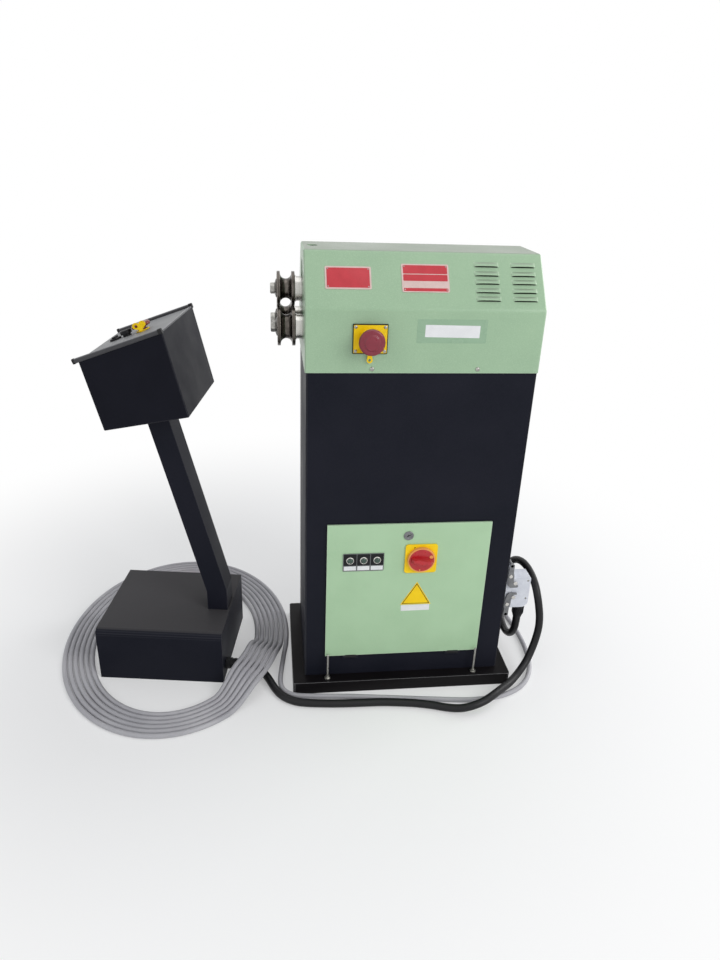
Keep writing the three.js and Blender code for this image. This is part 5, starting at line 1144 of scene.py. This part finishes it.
def connectorPeg(x, z, head):
    y, reach, crown = connector["y"], peg["reach"], peg["crown"]
    side = [(reach, peg["stem"]), (reach, head), (crown - peg["inset"], head),
        (crown, head - peg["edge"]), (crown, 0)]
    profile = [(y - u, v) for u, v in reversed(side)] + [(y + u, v) for u, v in side]
    return turned("peg", profile, alongY(x, 0, z), 32)


def connectorLever(side, z):
    x, thick = lever["pivotX"], lever["thick"]
    outline = [(z + side * v, x + u) for u, v in lever["shape"]]
    near, far = connector["y"] - lever["half"], connector["y"] + lever["half"]
    plates = []
    for y in (near, far - thick):
        arm = extruded("arm", outline, y, y + thick, alongY(0, 0, 0))
        bore = rod("bore", y - 0.004, y + 0.008, lever["hole"], alongY(x, 0, z), 32)
        plates.append(combine(arm, [bore]))
    return [*plates, rod("bar", near, far, lever["bar"], alongY(x, 0, z + side * lever["barUp"]), 32)]


def makeConnector():
    c, y, half = connector, connector["y"], connector["half"]
    deep = c["face"] - c["wall"]
    (bottom, top), (low, high) = c["bodyZ"], c["hoodZ"]
    housing = plate("connectorHousing", c["flange"], c["corner"], 0, c["flangeThick"],
        alongX(c["wall"], y, c["flangeZ"]))
    combine(housing, [plate("body", (2 * half, top - bottom), c["corner"], 0, deep,
        alongX(c["wall"], y, (bottom + top) / 2))], "UNION")
    dress(housing, "machine", "castAluminium", 0.0008, ["connector_housing"], 3)
    pegs = gathered("connectorPegs", [connectorPeg(*place) for place in peg["places"]])
    dress(pegs, "machine", "brightSteel", None)
    middle = (low + high) / 2
    seal = plate("connectorSeal", c["seal"], c["corner"], *(deep + rise for rise in c["sealRise"]),
        alongX(c["wall"], y, middle))
    dress(seal, "machine", "blackRubber", None)
    x, bend, edge = c["face"] + c["hoodGap"], c["bend"], c["edge"]
    end = x + c["length"]
    outline = [(x, low), *arc(end - bend, low + bend, bend, -math.pi / 2, 0, 14), (end, high - edge),
        (end - edge, high), (x, high)]
    cover = extruded("connectorHood", [(v, u) for u, v in outline], y - half, y + half, alongY(0, 0, 0))
    combine(cover, [plate("rim", c["rim"], 0.002, 0, c["rimThick"], alongX(x, y, middle))], "UNION")
    dress(cover, "machine", "castAluminium", 0.0022, ["connector_hood"], 4, 40)
    screws = [panScrew(onSide(c["screwX"], y - half, z), *c["screw"]) for z in c["screwZ"]]
    dress(gathered("connectorScrews", screws), "machine", "zincSteel")
    for name, side, z in lever["pivots"]:
        dress(gathered(f"connectorLever_{name}", connectorLever(side, z)), f"{name}_lever", "leverSteel",
            0.0006, [f"connector_lever_{name}"], 2)
    below = Matrix.Translation((connectorGland["x"], y, 0))
    shell = turned("gland", connectorGland["shell"], below, 64)
    dress(gathered("connectorGland", [shell, *ribsRound(below, *connectorGland["ribs"])]), "machine",
        "darkPlastic", 0.0003, ["connector_gland"], 2)


def glandPiece(name, gland):
    place, (radius, length), dome, mouth = gland["place"], gland["hex"], gland["dome"], gland["mouth"]
    end, shape, out = length + dome, glandShape, radius * glandShape["shoulder"]
    start, low, high = shape["back"]
    base = extruded("hex", hexagon(radius), 0, length, place)
    profile = [(length * 0.9, 0), (length * 0.9, out), (length + dome * 0.2, out),
        (length + dome * 0.45, radius * 0.8), (length + dome * 0.8, mouth * 1.14),
        (end - 0.0005, mouth * 1.03), (end, mouth * 0.95), (end, 0)]
    crown = turned("dome", profile, place, 64)
    stem = rod("stem", start, 0.001, gland["thread"], place)
    ring = rod("ring", high, low, gland["nut"], place, 6)
    inner, outer = shape["rib"]
    ribs = ribsRound(place, shape["ribs"], out - inner, out + outer, *shape["ribHalf"],
        length + shape["ribStart"], length + dome * shape["ribEnd"])
    dress(gathered(name, [base, crown, stem, ring, *ribs]), "machine", "darkPlastic", 0.0004,
        [gland["node"]], 2)


makeConnector()
for gland in glands:
    glandPiece(gland, glands[gland])
print("connector and glands built")

# Foot console: sloping desk with rolled lips, its switches and its stop button.
desk = {"outline": [(0.070, 0.582), (0.233, 0.616), (0.195, 0.776), (0.0375, 0.716)],
    "y": (0.009, 0.235), "sheet": 0.002, "length": 0.16854, "angle": math.atan2(0.060, 0.1575),
    "origin": (0.0375, 0.122, 0.716), "controlHole": 0.0083,
    "cable": (0.2453 - 0.403 * math.tan(0.242), 0.122, 0), "cableZ": (0.582, 0.640), "cableHole": 0.012,
    "round": 0.0022}
lips = {"size": (0.007, 0.009), "corner": 0.0031, "sunk": 0.003,
    "edges": ((-0.116, 1, 0.009), (0.116, -1, 0.001)), "short": 0.001, "cap": 0.007, "nearCap": 0.0042,
    "capSize": (0.008, 0.0102), "capCorner": 0.0026, "capPast": (0.0006, 0.0008),
    "fold": (0.0075, 0.0006), "foldHalf": 0.1095, "foldRise": (-0.0004, 0.0012)}
stopTab = {"low": 0.0003, "thick": 0.002, "ring": 0.0132, "bore": 0.0104, "bend": 0.021, "height": 0.020,
    "half": 0.013, "eye": 0.003, "eyeInset": 0.007, "turn": -math.pi / 2 + 0.2,
    "strip": [(0, -0.009), (0.021, -0.004), (0.021, 0.004), (0, 0.009)],
    "heart": [(0.004, 0.0003), (0.0044, 0.005), (0.012, 0.0105),
    *arc(0.0065, 0.0135, 0.0065, -0.3, 2.1, 12), (-0.0006, 0.0166),
    *arc(-0.0062, 0.013, 0.0068, 1.0, math.pi + 0.4, 12), (-0.0044, 0.005), (-0.004, 0.0003)]}
controls = {"selector": 0.0355, "button": 0.0605, "stop": 0.094}
stem = [(-0.030, 0), (-0.030, 0.008)]
selector = {"body": [(0.0003, 0.008), (0.0003, 0.0115), (0.003, 0.0115), (0.0038, 0.0109),
    (0.004, 0.0097), (0.004, 0)], "grip": (0.006, 0.021), "corner": 0.0018, "rise": (0.0036, 0.007)}
button = [(0.0043, 0.008), (0.0043, 0.0115), (0.0104, 0.0115), (0.0112, 0.0111), (0.012, 0.0099),
    (0.012, 0.0085), (0.0114, 0.0079), (0.0112, 0)]
stopButton = [(0.005, 0.008), (0.0067, 0.0097), (0.0073, 0.015), (0.0079, 0.0172), (0.0091, 0.0183),
    (0.0112, 0.0185), (0.0134, 0.018), (0.0148, 0.0166), (0.0155, 0.0135), (0.0158, 0.009), (0.016, 0)]
tilt = (math.cos(desk["angle"]), 0, math.sin(desk["angle"]))
panelPlace = consolePlace @ axes(desk["origin"], tilt, (0, 1, 0), (-tilt[2], 0, tilt[0]))


def insetOutline(corners, inset):
    made = []
    for i, corner in enumerate(corners):
        before, after = Vector(corners[i - 1]), Vector(corners[(i + 1) % len(corners)])
        here = Vector(corner)
        into, out = (here - before).normalized(), (after - here).normalized()
        share = inset / (into.x * out.y - into.y * out.x)
        made.append(tuple(here + share * (out - into)))
    return made


def makeDesk():
    d, (y0, y1), sheet = desk, desk["y"], desk["sheet"]
    across = consolePlace @ axes((0, 0, 0), (1, 0, 0), (0, 0, 1), (0, -1, 0))
    box = extruded("consoleDesk", d["outline"], -y1, -y0, across)
    rounding(box, d["round"], 4, 20)
    settle(box)
    inner = extruded("inner", insetOutline(d["outline"], sheet), -y1 + sheet, -y0 - sheet, across)
    holes = [hole(d["controlHole"], shifted(panelPlace, at, 0, 0), 40, 0.006) for at in controls.values()]
    cable = shifted(consolePlace, *d["cable"])
    combine(box, [inner, *holes, rod("cable", *d["cableZ"], d["cableHole"], cable, 32)])
    dress(box, "machine", "deskPaint", None, ["console_desk"])
    length, (wide, tall), cap = d["length"], lips["size"], lips["cap"]
    along = panelPlace @ axes((0, 0, 0), (0, 1, 0), (0, 0, 1), (1, 0, 0))
    made, caps = [], []
    for edge, side, past in lips["edges"]:
        centre = (edge + side * wide / 2, tall / 2 - lips["sunk"])
        end = length - lips["short"]
        made.append(plate("lip", lips["size"], lips["corner"], -past, end, along, 6, centre))
        for low, high in ((-past - lips["capPast"][0], lips["nearCap"] - past),
                (length - cap, length + lips["capPast"][1])):
            caps.append(plate("cap", lips["capSize"], lips["capCorner"], low, high, along, 5, centre))
    (low, high), half = (length - inset for inset in lips["fold"]), lips["foldHalf"]
    corners = [(low, -half), (high, -half), (high, half), (low, half)]
    made.append(extruded("fold", corners, *lips["foldRise"], panelPlace))
    dress(gathered("deskLips", made), "machine", "lipPaint", 0.0005, (), 2)
    dress(gathered("deskCaps", caps), "machine", "blackRubber", 0.0008, (), 3)


def makeStopTab(place):
    t, low, high = stopTab, stopTab["low"], stopTab["low"] + stopTab["thick"]
    turn = spun(place, t["turn"])  # first axis now points to the near side
    tab = rod("consoleStopTab", low, high, t["ring"], turn, 64)
    combine(tab, [extruded("strip", t["strip"], low, high, turn)], "UNION")
    combine(tab, [hole(t["bore"], place, 48)])
    upright = turn @ axes((0, 0, 0), (0, -1, 0), (0, 0, 1), (-1, 0, 0))
    stand = extruded("stand", t["heart"], -t["bend"], -t["bend"] + t["thick"], upright)
    eye = shifted(upright, t["half"] - t["eyeInset"], t["height"] - t["eyeInset"], 0)
    combine(stand, [rod("eye", -0.03, 0.0, t["eye"], eye, 32)])
    dress(gathered("consoleStopTab", [tab, stand]), "machine", "yellowPlastic", 0.0004,
        ["console_stop_tab"], 2)


def makeSwitches():
    at = {key: shifted(panelPlace, place, 0, 0) for key, place in controls.items()}
    body = turned("selector", stem + selector["body"], at["selector"], 64)
    grip = plate("grip", selector["grip"], selector["corner"], *selector["rise"], at["selector"], 5)
    dress(gathered("consoleSelector", [body, grip]), "selector", "darkPlastic", 0.0004,
        ["console_selector"], 2)
    dress(turned("consoleButton", stem + button, at["button"], 64), "button", "darkPlastic", 0.0004,
        ["console_button"], 2)
    dress(turned("consoleStop", stem + stopButton, at["stop"], 80), "console_stop", "stopRed", None,
        ["console_stop"])
    makeStopTab(at["stop"])


makeDesk()
makeSwitches()
print("console built")
